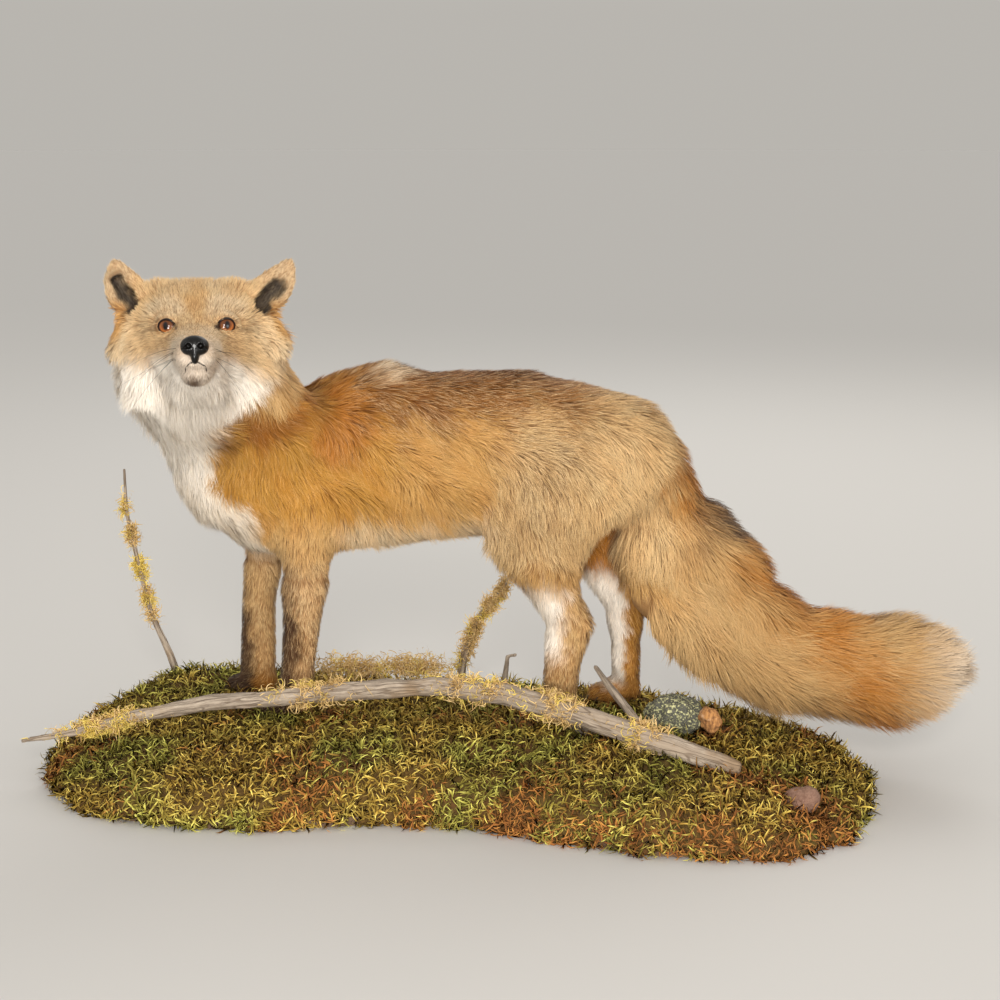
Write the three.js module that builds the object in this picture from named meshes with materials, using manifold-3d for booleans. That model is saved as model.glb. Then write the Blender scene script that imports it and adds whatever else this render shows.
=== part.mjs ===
// A life-size mounted red fox that stands on its own moss-covered habitat base,
// with a driftwood branch, lichened twigs and three stones.
//
// Frame: millimetres, +X towards the animal's tail, +Y towards its right side, +Z up.
// The origin is the middle of the base's flat underside.
// The solids reach out to the tips of the coat. They are lofts through named cross-sections,
// joined where the flesh runs on, and parted from their neighbours by thin cuts.

import * as THREE from 'three';
import { mergeVertices } from 'three/addons/utils/BufferGeometryUtils.js';
import Module from 'manifold-3d';

const wasm = await Module();
wasm.setup();

// ---------------------------------------------------------------- driving dimensions

const GAP = 0.3;                  // clearance between touching pieces
const SPINE = 45;                 // y of the animal's mid-plane
const GROUND = 54;                // height of the moss under the paws

const BROW = [-240.5, -85, 484];  // the point midway between the eyes
const FACE_YAW = 13;              // degrees, the face turned from -Y towards the tail
const FACE_PITCH = 12;            // degrees, the muzzle lifted
const EYE_RADIUS = 11;            // of the glass
const EYE_SPREAD = 26.6;          // centre of an eye from the middle of the face
const EYE_DEPTH = -7;             // how far an eye's centre lies behind the brow point
const BALL_MERIDIANS = 10;        // facets round an eye or the nose, and over it
const BALL_ROWS = 6;

const BOARD_THICK = 9;
const BOARD_INSET = 0.93;         // the board's outline as a part of the moss's
const MOSS_TOP = 57;              // mean height of the moss's crown
const MOSS_RIDGE = 14;            // extra height of the heaped moss under the branch

const BRANCH_THICK = 11;          // half-thickness of the driftwood at its middle

// ---------------------------------------------------------------- lofted forms

const vec = (p) => new THREE.Vector3(...p);

/** A closed surface through rings of points, with a fan over each end. */
function skinRings(rings) {
  const count = rings[0].length;
  const points = rings.flat();
  const faces = [];
  for (let r = 0; r + 1 < rings.length; r += 1) {
    for (let k = 0; k < count; k += 1) {
      const a = r * count + k;
      const b = r * count + (k + 1) % count;
      faces.push([a, b, b + count], [a, b + count, a + count]);
    }
  }
  for (const r of [0, rings.length - 1]) {
    const middle = points.length;
    points.push(rings[r].reduce((sum, p) => sum.add(p), new THREE.Vector3()).divideScalar(count));
    for (let k = 0; k < count; k += 1) {
      const a = r * count + k;
      const b = r * count + (k + 1) % count;
      faces.push(r === 0 ? [middle, b, a] : [middle, a, b]);
    }
  }
  return solidOf(points, faces);
}

/** A manifold from points and faces, turned so that its faces point out. */
function solidOf(points, faces) {
  const volume = faces.reduce((sum, [a, b, c]) =>
    sum + points[a].dot(points[b].clone().cross(points[c])), 0);
  const triangles = volume > 0 ? faces : faces.map(([a, b, c]) => [a, c, b]);
  return new wasm.Manifold(new wasm.Mesh({
    numProp: 3,
    vertProperties: new Float32Array(points.flatMap((p) => [p.x, p.y, p.z])),
    triVerts: new Uint32Array(triangles.flat()),
  }));
}

/** A solid from one of three.js's closed geometries. */
function solidFrom(geometry) {
  geometry.deleteAttribute('normal');
  geometry.deleteAttribute('uv');
  const merged = mergeVertices(geometry, 1e-4);
  return new wasm.Manifold(new wasm.Mesh({
    numProp: 3,
    vertProperties: new Float32Array(merged.attributes.position.array),
    triVerts: new Uint32Array(merged.index.array),
  }));
}

/**
 * A loft through sections [x, y, z, half-width, rise, fall].
 * The rings stand on the axes `side` and `up`, or, where `up` is left out, square to the path.
 * `square` is the superellipse power, 2 for an ellipse. Returns its solid, and a copy that
 * is GAP larger, which clears the space around it.
 */
function loft(sections, { side, up, around = 16, square = 2.2 }) {
  const make = (grow) => {
    const rings = sections.map((row, i) => {
      const centre = vec(row.slice(0, 3));
      const ahead = vec(sections[Math.min(i + 1, sections.length - 1)].slice(0, 3));
      const behind = vec(sections[Math.max(i - 1, 0)].slice(0, 3));
      const path = ahead.sub(behind).normalize();
      const across = vec(side).normalize();
      const rise = up ? vec(up).normalize() : path.clone().cross(across).normalize();
      if (!up) across.copy(rise).cross(path).normalize();
      if (grow && i === 0) centre.addScaledVector(path, -grow);
      if (grow && i === sections.length - 1) centre.addScaledVector(path, grow);
      return Array.from({ length: around }, (_, k) => {
        const angle = (2 * Math.PI * (k + 0.5)) / around;
        const c = Math.cos(angle);
        const s = Math.sin(angle);
        const reach = (Math.abs(c) ** square + Math.abs(s) ** square) ** (-1 / square);
        const high = (s > 0 ? row[4] : row[5]) + grow;
        return centre.clone().addScaledVector(across, c * reach * (row[3] + grow))
          .addScaledVector(rise, s * reach * high);
      });
    });
    return skinRings(rings);
  };
  return { solid: make(0), grown: make(GAP) };
}

/** A lumpy ball: radii along x, y, z, with `rough` of them taken by slow waves over it. */
function lump(centre, radii, rough = 0.1) {
  const make = (grow) => {
    const ball = new THREE.IcosahedronGeometry(1, 1);
    const at = ball.attributes.position;
    for (let i = 0; i < at.count; i += 1) {
      const p = new THREE.Vector3().fromBufferAttribute(at, i);
      const wave = Math.sin(3.1 * p.x + centre[0]) * Math.cos(2.7 * p.y + centre[1])
        + 0.6 * Math.sin(4.3 * p.z + p.x * 2 + centre[0]);
      p.multiplyScalar(1 + rough * wave);
      at.setXYZ(i, p.x * (radii[0] + grow), p.y * (radii[1] + grow), p.z * (radii[2] + grow));
    }
    ball.translate(...centre);
    return solidFrom(ball);
  };
  return { solid: make(0), grown: make(GAP) };
}

// ---------------------------------------------------------------- cuts

/** A big block whose face passes through `point`, on the side that `facing` points to. */
function halfSpace(point, facing, reach = 700) {
  const block = new THREE.BoxGeometry(2 * reach, 2 * reach, 2 * reach);
  block.translate(0, 0, reach);
  const turn = new THREE.Quaternion().setFromUnitVectors(
    new THREE.Vector3(0, 0, 1), vec(facing).normalize());
  block.applyQuaternion(turn);
  block.translate(...point);
  return solidFrom(block);
}

/** Parts a solid at a plane: [the piece that `facing` points to, the rest], GAP apart. */
function part(solid, point, facing) {
  const step = vec(facing).normalize().multiplyScalar(GAP);
  const beyond = vec(point).add(step).toArray();
  return [
    largest(solid.intersect(halfSpace(beyond, facing))),
    largest(solid.subtract(halfSpace(point, facing))),
  ];
}

/** The largest of a solid's separate bodies. */
function largest(solid) {
  const bodies = solid.decompose();
  return bodies.reduce((best, body) => (body.volume() > best.volume() ? body : best));
}

/** A solid with the space of its neighbours taken out. */
function clear(solid, neighbours) {
  return largest(neighbours.reduce((rest, next) => rest.subtract(next.grown), solid));
}

// ---------------------------------------------------------------- the sub-parts as meshes

const fox = new THREE.Group();

const FINISH = {
  coat: { color: 0xc08a4a, roughness: 0.9 },
  whiteCoat: { color: 0xe6d8bf, roughness: 0.9 },
  darkCoat: { color: 0x5b4634, roughness: 0.9 },
  leather: { color: 0x1d1917, roughness: 0.4 },
  eye: { color: 0x8a4a12, roughness: 0.05 },
  moss: { color: 0x6f6a24, roughness: 1 },
  board: { color: 0x5a4632, roughness: 0.9 },
  driftwood: { color: 0xa39a8c, roughness: 0.85 },
  lichen: { color: 0xc9a85c, roughness: 1 },
  stone: { color: 0x6c6a60, roughness: 0.8 },
  bark: { color: 0x9a5f30, roughness: 0.9 },
};

/** Adds one solid to the model as a named mesh. */
function add(name, solid, finish) {
  const { vertProperties, numProp, triVerts } = solid.getMesh();
  const places = new Float32Array((vertProperties.length / numProp) * 3);
  for (let i = 0; i * numProp < vertProperties.length; i += 1) {
    places.set(vertProperties.slice(i * numProp, i * numProp + 3), i * 3);
  }
  const geometry = new THREE.BufferGeometry();
  geometry.setAttribute('position', new THREE.BufferAttribute(places, 3));
  geometry.setIndex(new THREE.BufferAttribute(new Uint32Array(triVerts), 1));
  geometry.computeVertexNormals();
  const mesh = new THREE.Mesh(geometry, new THREE.MeshStandardMaterial(FINISH[finish]));
  mesh.name = name;
  fox.add(mesh);
}

// ---------------------------------------------------------------- trunk, neck and ruff

const ALONG = { side: [0, 1, 0], up: [0, 0, 1] };   // rings across the body
const UPRIGHT = { side: [0, 1, 0], up: [-1, 0, 0] }; // level rings, for neck and legs

/** A section across the body: its place along it, top, bottom, half-width and mid-line. */
const across = (x, top, bottom, half, y = SPINE) =>
  [x, y, (top + bottom) / 2, half, (top - bottom) / 2, (top - bottom) / 2];

/** A level section of the neck or a leg: its height, front and back edge, mid-line, half-width. */
const level = (z, front, back, y, half) =>
  [(front + back) / 2, y, z, half, (back - front) / 2, (back - front) / 2];

const trunk = loft([
  across(-205, 392, 262, 46),
  across(-165, 414, 232, 60),
  across(-125, 427, 226, 66),
  across(-85, 438, 231, 68),
  across(-40, 428, 239, 67),
  across(15, 429, 245, 63),
  across(65, 430, 251, 66),
  across(110, 421, 258, 71),
  across(150, 411, 264, 71),
  across(185, 405, 270, 64),
  across(212, 396, 280, 52),
  across(231, 364, 298, 34),
  across(243, 338, 312, 14),
], { ...ALONG, around: 14 });

const ruff = loft([
  level(230, -222, -140, 45, 34),
  level(248, -257, -120, 45, 52),
  level(275, -288, -105, 44, 62),
  level(305, -303, -98, 43, 67),
  level(336, -314, -95, 40, 69),
  level(366, -331, -103, 28, 71),
  level(392, -344, -125, 10, 72),
  level(414, -349, -149, -10, 72),
  level(438, -346, -162, -22, 71),
  level(464, -330, -172, -26, 64),
  level(492, -300, -190, -26, 44),
], { ...UPRIGHT, around: 14 });

// ---------------------------------------------------------------- head

const yaw = THREE.MathUtils.degToRad(FACE_YAW);
const pitch = THREE.MathUtils.degToRad(FACE_PITCH);
const FORWARD = [
  Math.sin(yaw) * Math.cos(pitch), -Math.cos(yaw) * Math.cos(pitch), Math.sin(pitch),
];
const LEFT = [Math.cos(yaw), Math.sin(yaw), 0];
const CROWN = vec(FORWARD).cross(vec(LEFT)).toArray();

/** A point of the head, from the brow: forward, to the animal's left, and towards the crown. */
const onHead = (forward, left, crown) => vec(BROW).addScaledVector(vec(FORWARD), forward)
  .addScaledVector(vec(LEFT), left).addScaledVector(vec(CROWN), crown).toArray();

/** A section across the face: distance forward, its top and bottom, and its half-width. */
const faceAt = (forward, top, bottom, half) =>
  [...onHead(forward, 0, (top + bottom) / 2), half, (top - bottom) / 2, (top - bottom) / 2];

const skull = loft([
  faceAt(-92, 16, -50, 38),
  faceAt(-72, 42, -65, 60),
  faceAt(-46, 51, -75, 74),
  faceAt(-25, 46, -75, 67),
  faceAt(-10, 31, -68, 53),
  faceAt(2, 14, -62, 38.5),
  faceAt(14, 2, -58, 30.5),
  faceAt(28, -5, -55, 26),
  faceAt(44, -10, -52, 22),
  faceAt(58, -14, -49, 18.5),
  faceAt(67, -17, -45, 14.5),
  faceAt(71, -22, -40, 8),
], { side: LEFT, up: CROWN, square: 2.5 });

/** The fur of a cheek, a loft outwards to one side: -1 right, 1 left. */
function cheek(hand) {
  const at = (left, forward, crown, half, rise, fall) =>
    [...onHead(forward, hand * left, crown), half, rise, fall];
  return loft([
    at(8, -42, -22, 40, 48, 50),
    at(42, -42, -26, 40, 47, 50),
    at(64, -47, -30, 33, 46, 45),
    at(78, -53, -35, 21, 33, 33),
    at(84, -57, -38, 8, 11, 15),
  ], { side: FORWARD, up: CROWN, around: 10 });
}
const cheeks = [cheek(-1), cheek(1)];

/** A section of the fur under the chin: forward, up, half-width and half-thickness. */
const underChin = (forward, crown, half, thick) =>
  [...onHead(forward, 0, crown), half, thick, thick];

const throat = loft([
  underChin(32, -41, 14, 15),
  underChin(12, -52, 30, 19),
  underChin(-16, -64, 42, 22),
  underChin(-46, -81, 50, 24),
  underChin(-78, -101, 50, 25),
], { side: LEFT, around: 10 });

const EAR_ROOT = [-34, 62, 22];   // forward, out to the side and up, from the brow
// The two ears aren't set alike: the right one stands steeper and reaches less far.
const EARS = {
  right: { hand: -1, splay: 62, reach: 0.86, girth: 1 },
  left: { hand: 1, splay: 48, reach: 0.96, girth: 0.93 },
};

/**
 * An ear: a cupped leaf, open to the front. Each ring is a crescent, and the sections hold
 * the distance out from the ear's root, the half-width, the depth of the cup and the lean
 * of its middle towards the other ear.
 */
function ear({ hand, splay, reach, girth }) {
  const sections = [
    [-22, 16, 14, 5], [0, 22.5, 16, 3.5], [13, 22.5, 15, 2.5], [27, 19, 11, 2],
    [41, 13.5, 7.5, 2.2], [50, 8, 4.5, 4.5], [54.5, 3, 1.6, 6],
  ];
  const wall = 1.1;      // half the thickness of the rim
  const hollow = 0.45;   // how far the front of the cup follows its back
  const around = 10;
  const tilt = THREE.MathUtils.degToRad(splay);
  const rings = sections.map(([out, half, cup, lean]) => Array.from({ length: around }, (_, k) => {
    const angle = (2 * Math.PI * k) / around;
    const wide = girth * half * Math.cos(angle) - lean;
    const bow = Math.abs(Math.sin(angle));
    const rim = wall * Math.sqrt(bow);
    const deep = Math.sin(angle) > 0 ? cup * bow + rim : hollow * cup * bow - rim;
    const left = EAR_ROOT[1] + reach * out * Math.cos(tilt) + wide * Math.sin(tilt);
    const crown = EAR_ROOT[2] + reach * out * Math.sin(tilt) - wide * Math.cos(tilt);
    return vec(onHead(EAR_ROOT[0] - deep + 0.12 * out, hand * left, crown));
  }));
  return { solid: skinRings(rings) };
}

/** A ball given by its place on the head and its three half-sizes. */
function headBall(forward, left, crown, halfSizes) {
  const make = (grow) => {
    const ball = new THREE.SphereGeometry(1, BALL_MERIDIANS, BALL_ROWS);
    ball.scale(...halfSizes.map((size) => size + grow));
    ball.applyMatrix4(new THREE.Matrix4().makeBasis(vec(FORWARD), vec(LEFT), vec(CROWN)));
    ball.translate(...onHead(forward, left, crown));
    return solidFrom(ball);
  };
  return { solid: make(0), grown: make(GAP) };
}
const eyeSizes = [EYE_RADIUS, EYE_RADIUS, EYE_RADIUS];
const eyes = [-1, 1].map((hand) => headBall(EYE_DEPTH, hand * EYE_SPREAD, 0, eyeSizes));
const nose = headBall(69, 0, -25, [7.5, 13, 10.2]);

// ---------------------------------------------------------------- legs and paws

const legs = {
  foreleg_left: loft([
    level(350, -205, -118, 22, 34),
    level(300, -211, -114, 12, 36),
    level(262, -199, -119, 8, 31),
    level(236, -188, -125, 7, 26),
    level(204, -188, -130, 7, 21),
    level(160, -186, -141, 7, 18),
    level(115, -189, -149, 9, 17),
    level(88, -193, -152, 13, 17),
    level(70, -194, -154, 16, 14),
  ], { ...UPRIGHT, around: 10 }),
  foreleg_right: loft([
    level(340, -225, -130, 70, 34),
    level(300, -240, -140, 76, 33),
    level(262, -246, -160, 79, 29),
    level(236, -245, -178, 80, 25),
    level(204, -244, -196, 80, 21),
    level(160, -247, -206, 80, 18),
    level(115, -250, -207, 81, 17),
    level(88, -252, -208, 83, 17),
    level(70, -252, -210, 85, 14),
  ], { ...UPRIGHT, around: 10 }),
  hindleg_left: loft([
    level(390, 62, 190, 30, 42),
    level(345, 32, 206, 16, 46),
    level(300, 15, 196, 8, 42),
    level(260, 18, 160, 4, 36),
    level(225, 42, 139, 3, 31),
    level(200, 70, 135, 3, 25),
    level(168, 92, 151, 3, 20),
    level(125, 92, 136, 4, 17.5),
    level(90, 90, 131, 14, 16.5),
    level(70, 92, 130, 20, 14),
  ], { ...UPRIGHT, around: 10 }),
  hindleg_right: loft([
    level(390, 70, 195, 62, 40),
    level(345, 50, 215, 74, 44),
    level(300, 60, 212, 82, 42),
    level(260, 80, 205, 86, 36),
    level(225, 108, 198, 87, 31),
    level(200, 124, 197, 87, 26),
    level(164, 151, 203, 87, 20),
    level(125, 160, 197, 87, 17.5),
    level(90, 162, 197, 88, 17),
    level(70, 163, 196, 90, 14),
  ], { ...UPRIGHT, around: 10 }),
};

/** A paw from its heel forwards, flat on the moss. */
function paw(heel, y) {
  const slice = (ahead, height, half) => across(heel - ahead, GROUND + height, GROUND, half, y);
  return loft([
    slice(0, 22, 10), slice(7, 29, 15), slice(20, 31, 18), slice(35, 27, 19.5),
    slice(48, 19, 17.5), slice(56, 12, 12), slice(59, 8, 6),
  ], { ...ALONG, around: 10, square: 2.7 });
}
const paws = {
  forepaw_left: paw(-153, 17),
  forepaw_right: paw(-209, 85),
  hindpaw_left: paw(132, 21),
  hindpaw_right: paw(197, 91),
};

// ---------------------------------------------------------------- tail

const brush = loft([
  [192, SPINE, 366, 34, 30, 34],
  [205, SPINE, 322, 42, 45, 45],
  [214, SPINE, 266, 52, 64, 62],
  [239, SPINE - 2, 215, 60, 76, 76],
  [281, SPINE - 5, 171, 62, 77, 77],
  [337, SPINE - 8, 133, 60, 72, 71],
  [404, SPINE - 11, 119, 57, 66, 65],
  [453, SPINE - 14, 117, 58, 70, 70],
  [497, SPINE - 16, 118, 50, 57, 57],
  [523, SPINE - 17, 112, 32, 37, 37],
  [536, SPINE - 17, 106, 13, 15, 15],
], { side: [0, -1, 0], around: 14 });

// ---------------------------------------------------------------- fox: joined and parted

const core = [trunk, ruff, skull, throat, ...cheeks];
const joined = core.slice(1).reduce((sum, form) => sum.add(form.solid), trunk.solid);

const HEAD_CUT = onHead(25, 0, -62);                 // under the chin
const headFacing = vec(FORWARD).multiplyScalar(0.54).addScaledVector(vec(CROWN), 0.84).toArray();
const NECK_CUT = [-150, SPINE, 418];                 // before the withers
const NECK_FACING = [-0.62, 0, 0.78];
const LOIN_CUT = [20, SPINE, 330];

const [headWhole, body] = part(joined, HEAD_CUT, headFacing);
const [neck, torso] = part(body, NECK_CUT, NECK_FACING);
const [trunkRear, trunkFront] = part(torso, LOIN_CUT, [1, 0, 0]);

// The lower jaw lies below the mouth line and ends at the corners of the mouth.
const MOUTH_LINE = -43;
const MOUTH_CORNER = 16;
const underMouth = halfSpace(onHead(0, 0, MOUTH_LINE), vec(CROWN).negate().toArray());
const ahead = halfSpace(onHead(MOUTH_CORNER, 0, 0), FORWARD);
const underCut = halfSpace(onHead(0, 0, MOUTH_LINE - GAP), vec(CROWN).negate().toArray());
const aheadCut = halfSpace(onHead(MOUTH_CORNER + GAP, 0, 0), FORWARD);
const jaw = largest(headWhole.intersect(underCut).intersect(aheadCut));
const head = clear(headWhole.subtract(underMouth.intersect(ahead)), [...eyes, nose]);

add('fox_head', head, 'coat');
add('fox_lower_jaw', clear(jaw, [nose]), 'whiteCoat');
add('fox_nose', nose.solid, 'leather');
Object.entries(EARS).forEach(([name, set], i) => {
  add(`fox_eye_${name}`, eyes[i].solid, 'eye');
  add(`fox_ear_${name}`, clear(ear(set).solid, core), 'darkCoat');
});
add('fox_neck', neck, 'whiteCoat');
add('fox_trunk_front', trunkFront, 'coat');
add('fox_trunk_rear', trunkRear, 'coat');

// Each leg is parted above the elbow or the stifle's fold, and its paw is a piece of its own.
const UPPER_CUT = { fore: 204, hind: 200 };
for (const [name, leg] of Object.entries(legs)) {
  const foot = paws[name.replace('leg', 'paw')];
  const whole = clear(leg.solid, [...core, foot]);
  const height = name.startsWith('fore') ? UPPER_CUT.fore : UPPER_CUT.hind;
  const [upper, lower] = part(whole, [0, 0, height], [0, 0, 1]);
  add(`fox_${name}_upper`, upper, 'coat');
  add(`fox_${name}_lower`, lower, name.startsWith('fore') ? 'darkCoat' : 'whiteCoat');
}
for (const [name, foot] of Object.entries(paws)) add(`fox_${name}`, foot.solid, 'darkCoat');

const TAIL_MIDDLE_CUT = [252, SPINE, 196];
const TAIL_TIP_CUT = [478, SPINE, 117];
const hung = clear(brush.solid, [...core, legs.hindleg_left, legs.hindleg_right]);
const [tailBeyond, tailRoot] = part(hung, TAIL_MIDDLE_CUT, [0.62, 0, -0.78]);
const [tailTip, tailMiddle] = part(tailBeyond, TAIL_TIP_CUT, [1, 0, 0]);
add('fox_tail_root', tailRoot, 'coat');
add('fox_tail_middle', tailMiddle, 'coat');
add('fox_tail_tip', tailTip, 'whiteCoat');

// ---------------------------------------------------------------- habitat base

/** A rod that thins towards its ends, through points [x, y, z, half-thickness]. */
function rod(points, around = 6) {
  const sections = points.map(([x, y, z, thick]) => [x, y, z, thick, thick, thick]);
  return loft(sections, { side: [0, 1, 0.01], around, square: 2 });
}

const branch = rod([
  [-452, -70, 45, 3.5],
  [-392, -62, 54, 5.5],
  [-330, -36, 66, 7.5],
  [-254, -22, 77, 9],
  [-183, -22, 85, 9.5],
  [-90, -12, 93, BRANCH_THICK],
  [-15, -5, 96, BRANCH_THICK],
  [60, -17, 93, 12],
  [130, -45, 84, 12],
  [206, -73, 69, 12],
  [256, -86, 57, 11],
  [297, -94, 48, 9],
], 9);

const sideTwig = rod([[198, -62, 74, 6.5], [182, -24, 84, 5.5], [164, 6, 96, 4.5], [147, 30, 112, 3]]);
const uprightTwig = rod([
  [-340, 150, 40, 5], [-350, 150, 72, 4.5], [-368, 150, 116, 4],
  [-382, 150, 178, 3.4], [-394, 150, 244, 2.6], [-394, 150, 293, 1.8],
]);
const middleTwig = rod([
  [-10, 130, 40, 5.5], [-6, 130, 80, 5], [2, 130, 112, 4.5],
  [16, 130, 138, 4], [34, 130, 158, 3.4], [46, 130, 180, 2.5],
]);
const curledTwig = rod([[46, 96, 40, 4], [45, 98, 76, 3.4], [48, 100, 98, 2.6], [58, 100, 100, 2]]);

const speckledStone = lump([233, 16, 64], [33, 28, 22], 0.05);
const flatStone = lump([150, -14, 56], [36, 20, 13], 0.07);
const roundStone = lump([356, -128, 34], [19, 16, 13], 0.08);
const barkChip = lump([270, -4, 68], [13, 9, 15], 0.14);

const wood = [branch, sideTwig, uprightTwig, middleTwig, curledTwig];
const stones = [speckledStone, flatStone, roundStone, barkChip];
const feet = [...Object.values(paws), ...Object.values(legs)];

add('branch_main', branch.solid, 'driftwood');
add('branch_side_twig', clear(sideTwig.solid, [branch]), 'driftwood');
add('twig_upright', uprightTwig.solid, 'driftwood');
add('twig_middle', middleTwig.solid, 'driftwood');
add('twig_curled', curledTwig.solid, 'driftwood');
add('stone_speckled', clear(speckledStone.solid, wood), 'stone');
add('stone_flat', clear(flatStone.solid, [branch, speckledStone, ...feet]), 'stone');
add('stone_round', roundStone.solid, 'stone');
add('bark_chip', clear(barkChip.solid, [speckledStone, branch]), 'bark');

// Tufts of lichen: on the branch, round the twigs, and in mats behind the branch.
const lichens = {
  lichen_branch_end: lump([-372, -53, 72], [40, 15, 11]),
  lichen_branch_left: lump([-150, -14, 100], [50, 13, 9]),
  lichen_branch_middle: lump([22, -8, 106], [30, 14, 10]),
  lichen_branch_right: lump([108, -34, 90], [24, 17, 17]),
  lichen_branch_fork: lump([198, -70, 78], [17, 17, 13]),
  lichen_mat_left: lump([-130, 140, 66], [44, 22, 14]),
  lichen_mat_middle: lump([-60, 138, 68], [32, 24, 16]),
  lichen_upright_low: lump([-372, 150, 138], [17, 12, 20]),
  lichen_upright_middle: lump([-380, 150, 184], [12, 10, 20]),
  lichen_upright_high: lump([-391, 150, 232], [11, 10, 22]),
  lichen_twig_low: lump([2, 130, 112], [15, 12, 34]),
  lichen_twig_high: lump([32, 130, 157], [17, 11, 17]),
};
const placed = [];
for (const [name, tuft] of Object.entries(lichens)) {
  add(name, clear(tuft.solid, [...wood, ...stones, ...feet, ...placed]), 'lichen');
  placed.push(tuft);
}

// The base's outline, from its left end along the front, round its right end and back.
const RIM = new THREE.CatmullRomCurve3([
  [-448, -34], [-430, -95], [-381, -152], [-300, -180], [-180, -185], [-70, -158],
  [62, -164], [180, -206], [312, -216], [408, -160], [447, -75], [450, 20],
  [400, 112], [270, 172], [120, 202], [-170, 214], [-335, 200], [-420, 120],
].map(([x, y]) => new THREE.Vector3(x, y, 0)), true, 'centripetal');

/** The height of the moss over (x, y), before it falls away to the rim. */
function mossHeight(x, y) {
  const ridge = MOSS_RIDGE * Math.exp(-(((y + 34) / 42) ** 2)) * Math.exp(-(((x + 40) / 250) ** 4));
  const hummock = 38 * Math.exp(-(((x + 328) / 105) ** 2)) * Math.exp(-(((y - 118) / 75) ** 2));
  const lumps = 3 * Math.sin(x / 41) * Math.cos(y / 33) + 2 * Math.sin((x + 2 * y) / 57);
  const fall = 8 * Math.max(Math.abs(x) / 450 - 0.4, 0);
  return MOSS_TOP + ridge + hummock + lumps - fall;
}

const RIM_POINTS = 24;
const rim = RIM.getSpacedPoints(RIM_POINTS).slice(0, RIM_POINTS);
const mossRings = [0.28, 0.6, 0.84, 0.97].map((out) =>
  rim.map((edge) => {
    const x = edge.x * out;
    const y = edge.y * out;
    return new THREE.Vector3(x, y, Math.max(mossHeight(x, y) * Math.sqrt(1 - out ** 5), 1.5));
  }));
mossRings.push(rim.map((edge) => edge.clone()));

const board = {
  solid: skinRings([0, BOARD_THICK].map((z) =>
    rim.map((edge) => new THREE.Vector3(edge.x * BOARD_INSET, edge.y * BOARD_INSET, z)))),
  grown: skinRings([-1, BOARD_THICK + GAP].map((z) =>
    rim.map((edge) => edge.clone().multiplyScalar(BOARD_INSET + 0.002).setZ(z)))),
};
add('base_board', board.solid, 'board');
add('base_moss', clear(skinRings(mossRings), [
  board, ...wood, ...stones, ...Object.values(paws),
  lichens.lichen_mat_left, lichens.lichen_mat_middle,
]), 'moss');

export default fox;
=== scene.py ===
# %% [markdown]
# # A mounted red fox on its mossy base
#
# This lesson dresses a packed CAD model of a life-size mounted fox. The CAD solids reach
# out to the tips of the coat, so everything here is made from them: a skin that lies
# inside the solids by the depth of the fur, a coat of solid tufts that fills the room
# between skin and solid, glass eyes, a leather nose, and a base of moss, driftwood,
# lichen and stone. All lengths below are in millimetres until a mesh is made.

# %% Load the fixed frame
import math

import bpy
import numpy as np
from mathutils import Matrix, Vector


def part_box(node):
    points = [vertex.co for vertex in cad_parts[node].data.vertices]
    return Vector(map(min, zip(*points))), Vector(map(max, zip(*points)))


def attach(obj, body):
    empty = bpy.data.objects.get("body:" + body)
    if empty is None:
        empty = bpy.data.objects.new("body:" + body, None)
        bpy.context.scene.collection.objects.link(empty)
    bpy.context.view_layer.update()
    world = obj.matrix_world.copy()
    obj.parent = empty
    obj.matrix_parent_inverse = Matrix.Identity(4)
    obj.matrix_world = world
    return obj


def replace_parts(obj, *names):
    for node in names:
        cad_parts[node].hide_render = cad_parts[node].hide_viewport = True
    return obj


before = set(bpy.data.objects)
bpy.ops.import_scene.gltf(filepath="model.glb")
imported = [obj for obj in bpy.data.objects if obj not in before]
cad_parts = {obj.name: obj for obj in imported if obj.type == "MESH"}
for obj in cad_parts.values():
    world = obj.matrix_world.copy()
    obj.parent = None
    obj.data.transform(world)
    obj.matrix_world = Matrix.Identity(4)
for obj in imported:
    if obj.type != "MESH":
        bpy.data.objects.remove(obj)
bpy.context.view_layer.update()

import openvdb
from mathutils import Vector, kdtree
from numpy.linalg import norm

MM = 0.001  # a millimetre in the scene's metres

# %% [markdown]
# ## Floor, light and camera
#
# The fox stands on a plain pale floor under soft studio light. A big sheet that curves
# up behind the model would do too, but a wide flat disc leaves every side open to view.
# Large area lamps give the soft shadows of a shop's diffused daylight, and a pale world
# fills the shadows. The low two spare the floor, which they would burn out from so near.
# The lens is a long one from a short way off, a little above the back.

# %% The floor
FLOOR_RADIUS = 40  # so wide that no view shows its edge
FLOOR_COLOUR = (0.6, 0.58, 0.55, 1)

bpy.ops.mesh.primitive_circle_add(vertices=96, radius=FLOOR_RADIUS, fill_type="NGON")
floor = bpy.context.object
floor.name = "floor"
paint = bpy.data.materials.new("floor")
paint.use_nodes = True
sockets = paint.node_tree.nodes["Principled BSDF"].inputs
sockets["Base Color"].default_value = FLOOR_COLOUR
sockets["Roughness"].default_value = 0.9
floor.data.materials.append(paint)
print("floor", 2 * FLOOR_RADIUS, "m across")

# %% The sky
SKY = (  # height and colour, where the sky meets the floor and overhead
    (0.06, (0.484, 0.464, 0.43, 1)),
    (0.45, (0.8, 0.79, 0.77, 1)),
)

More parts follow.
